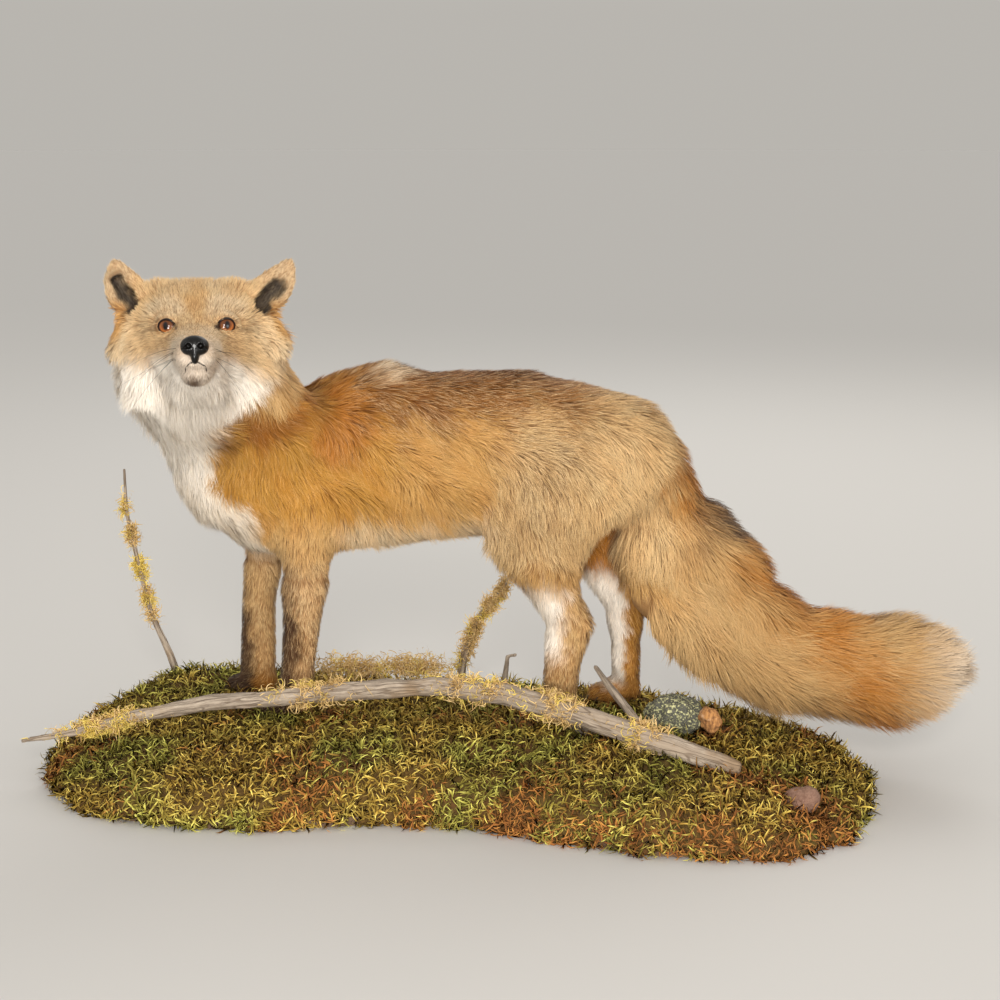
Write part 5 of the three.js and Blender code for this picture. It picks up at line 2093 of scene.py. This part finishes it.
crusted = stone_finish("crusted_stone", (0.04, 0.04, 0.032), (0.155, 0.15, 0.112), 1)
plain = stone_finish("plain_stone", (0.115, 0.08, 0.052), (0.25, 0.205, 0.155), 0)
russet = stone_finish("russet_stone", (0.13, 0.06, 0.038), (0.26, 0.15, 0.1), 0)
print("finishes", crusted.name, plain.name, russet.name)

# %% Stones, bark and board
def wear_stone(name, material, slot, dents, seed):
    """A CAD lump, worn round and dented."""
    clay = clay_over((name,), 2.0)
    places = clay.points()
    form = soften(clay.from_nodes((name,), 10), 3) - 0.6
    form += waves(places, 22, seed) * dents + waves(places, 8, seed + 1) * dents * 0.45
    piece = new_piece(name, *clay.surface(form), material, slot)
    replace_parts(piece, name)


wear_stone("stone_speckled", crusted, "stone", 1.3, 61)
wear_stone("stone_flat", plain, "stone", 1, 63)
wear_stone("stone_round", russet, "stone", 1, 65)
wear_stone("bark_chip", bark_finish(), "bark", 1.8, 67)
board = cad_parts["base_board"]
board.data.materials.clear()
board.data.materials.append(board_finish())

# %% [markdown]
# ### Lichen
#
# Tufts of fine, curling lichen hang on the branch and sit in mats behind it, dull ochre
# with some bright yellow. A rough lump with holes in it would look like sponge. So each
# tuft is a bundle of hair-thin strands: they start on the wood inside the CAD lump, or
# anywhere in a mat, and curl so tightly that together they keep the lump's outline.

# %% Lichen
LICHEN = (  # CAD lump, strands, how much is bright yellow, its wood, half its spread in mm
    ("lichen_branch_end", 1200, 0.75, "branch_main", (44, 30, 30)),
    ("lichen_branch_left", 800, 0.12, "branch_main", (42, 30, 30)),
    ("lichen_branch_middle", 900, 0.35, "branch_main", (44, 30, 30)),
    ("lichen_branch_right", 900, 0.08, "branch_main", (30, 30, 30)),
    ("lichen_branch_fork", 600, 0.3, "branch_main", (22, 30, 30)),
    ("lichen_mat_left", 1300, 0.03, None, (46, 20, 11)),
    ("lichen_mat_middle", 1100, 0.03, None, (38, 20, 12)),
    ("lichen_upright_low", 500, 0.3, "twig_upright", (20, 20, 26)),
    ("lichen_upright_middle", 440, 0.6, "twig_upright", (20, 20, 26)),
    ("lichen_upright_high", 440, 0.55, "twig_upright", (20, 20, 26)),
    ("lichen_twig_low", 1200, 0.02, "twig_middle", (34, 34, 34)),
    ("lichen_twig_high", 1000, 0.02, "twig_middle", (32, 32, 30)),
)
LICHEN_SEED = 71
LICHEN_CURL = 0.75
LICHEN_RADII = np.array([0.36, 0.46, 0.44, 0.34, 0.16])  # along a strand, in mm


def lichen_roots(name, wood_name, spread, number, draw):
    """Roots of a tuft's strands, on its wood or in a mat, and the ways they set off."""
    middle = cad_box_mm(name)[2]
    if wood_name is None:
        places = middle + np.clip(draw.normal(0, 0.5, (number, 3)), -1.1, 1.1) * spread
        return places, unit(draw.normal(size=(number, 3)) + (0, -0.3, 0.4))
    corners, normals = wood_skins[wood_name]
    apart = norm((corners - middle) / spread, axis=1)
    share = np.exp(-2 * apart ** 2) * ramp(waves(corners, 20, 72), -1, 0.8)
    chosen = draw.choice(len(corners), number, p=share / share.sum())
    ways = unit(normals[chosen] + 0.8 * draw.normal(size=(number, 3)))
    return corners[chosen], ways


def wander(places, way, draw):
    """Curling paths that keep near their roots."""
    number = len(places)
    spin = unit(draw.normal(size=(number, 3)))
    stride = draw.uniform(1.4, 4, (number, 1))
    path = [places]
    for _ in LICHEN_RADII[1:]:
        way = unit(way + LICHEN_CURL * np.cross(spin, way)
                   + 0.35 * draw.normal(size=(number, 3)))
        path.append(path[-1] + stride * way)
    return np.stack(path, axis=1)


print(len(LICHEN), "tufts and mats of lichen")

# %% Hang the lichen
def lichen_finish():
    """Dry lichen: ochre, or sulphur yellow where yellow is 1."""
    finish = Finish("lichen", Roughness=0.9, Specular_IOR_Level=0.15)
    yellow, shade, _ = finish.kept("tint")
    ochre = finish.mix((0.46, 0.29, 0.1), (0.78, 0.56, 0.26), shade)
    bright = finish.mix((0.6, 0.43, 0.08), (0.82, 0.64, 0.17), shade)
    finish.feed("Base Color", finish.mix(ochre, bright, yellow))
    return finish.material


def hang_lichen():
    """All lichen as one piece."""
    draw = np.random.default_rng(LICHEN_SEED)
    corners, quads, tints = [], [], []
    count = 0
    for name, number, bright, wood_name, spread in LICHEN:
        places, way = lichen_roots(name, wood_name, np.array(spread, float), number, draw)
        paths = wander(places, way, draw)
        some, faces = strands(paths, LICHEN_RADII, 2)
        patch = draw.random(number) + 0.8 * waves(paths[:, 0], 26, 73)
        yellow = ramp(patch, 1 - bright, 1.4 - bright)
        tint = np.stack([yellow, draw.random(number), np.zeros(number)], axis=1)
        corners.append(some)
        quads.append(faces + count)
        tints.append(np.repeat(tint, len(LICHEN_RADII) * 2, axis=0))
        count += len(some)
    piece = new_piece("lichen", np.concatenate(corners), np.concatenate(quads),
                      lichen_finish(), "lichen")
    note(piece, "tint", np.concatenate(tints))
    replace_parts(piece, *(row[0] for row in LICHEN))


hang_lichen()
print(sum(row[1] for row in LICHEN), "strands of lichen")

# %% [markdown]
# ## Sizes
#
# Looks must not change the size of the part. A few tips of tufts and of moss fronds reach
# up to 12 mm outside the box of the solids.
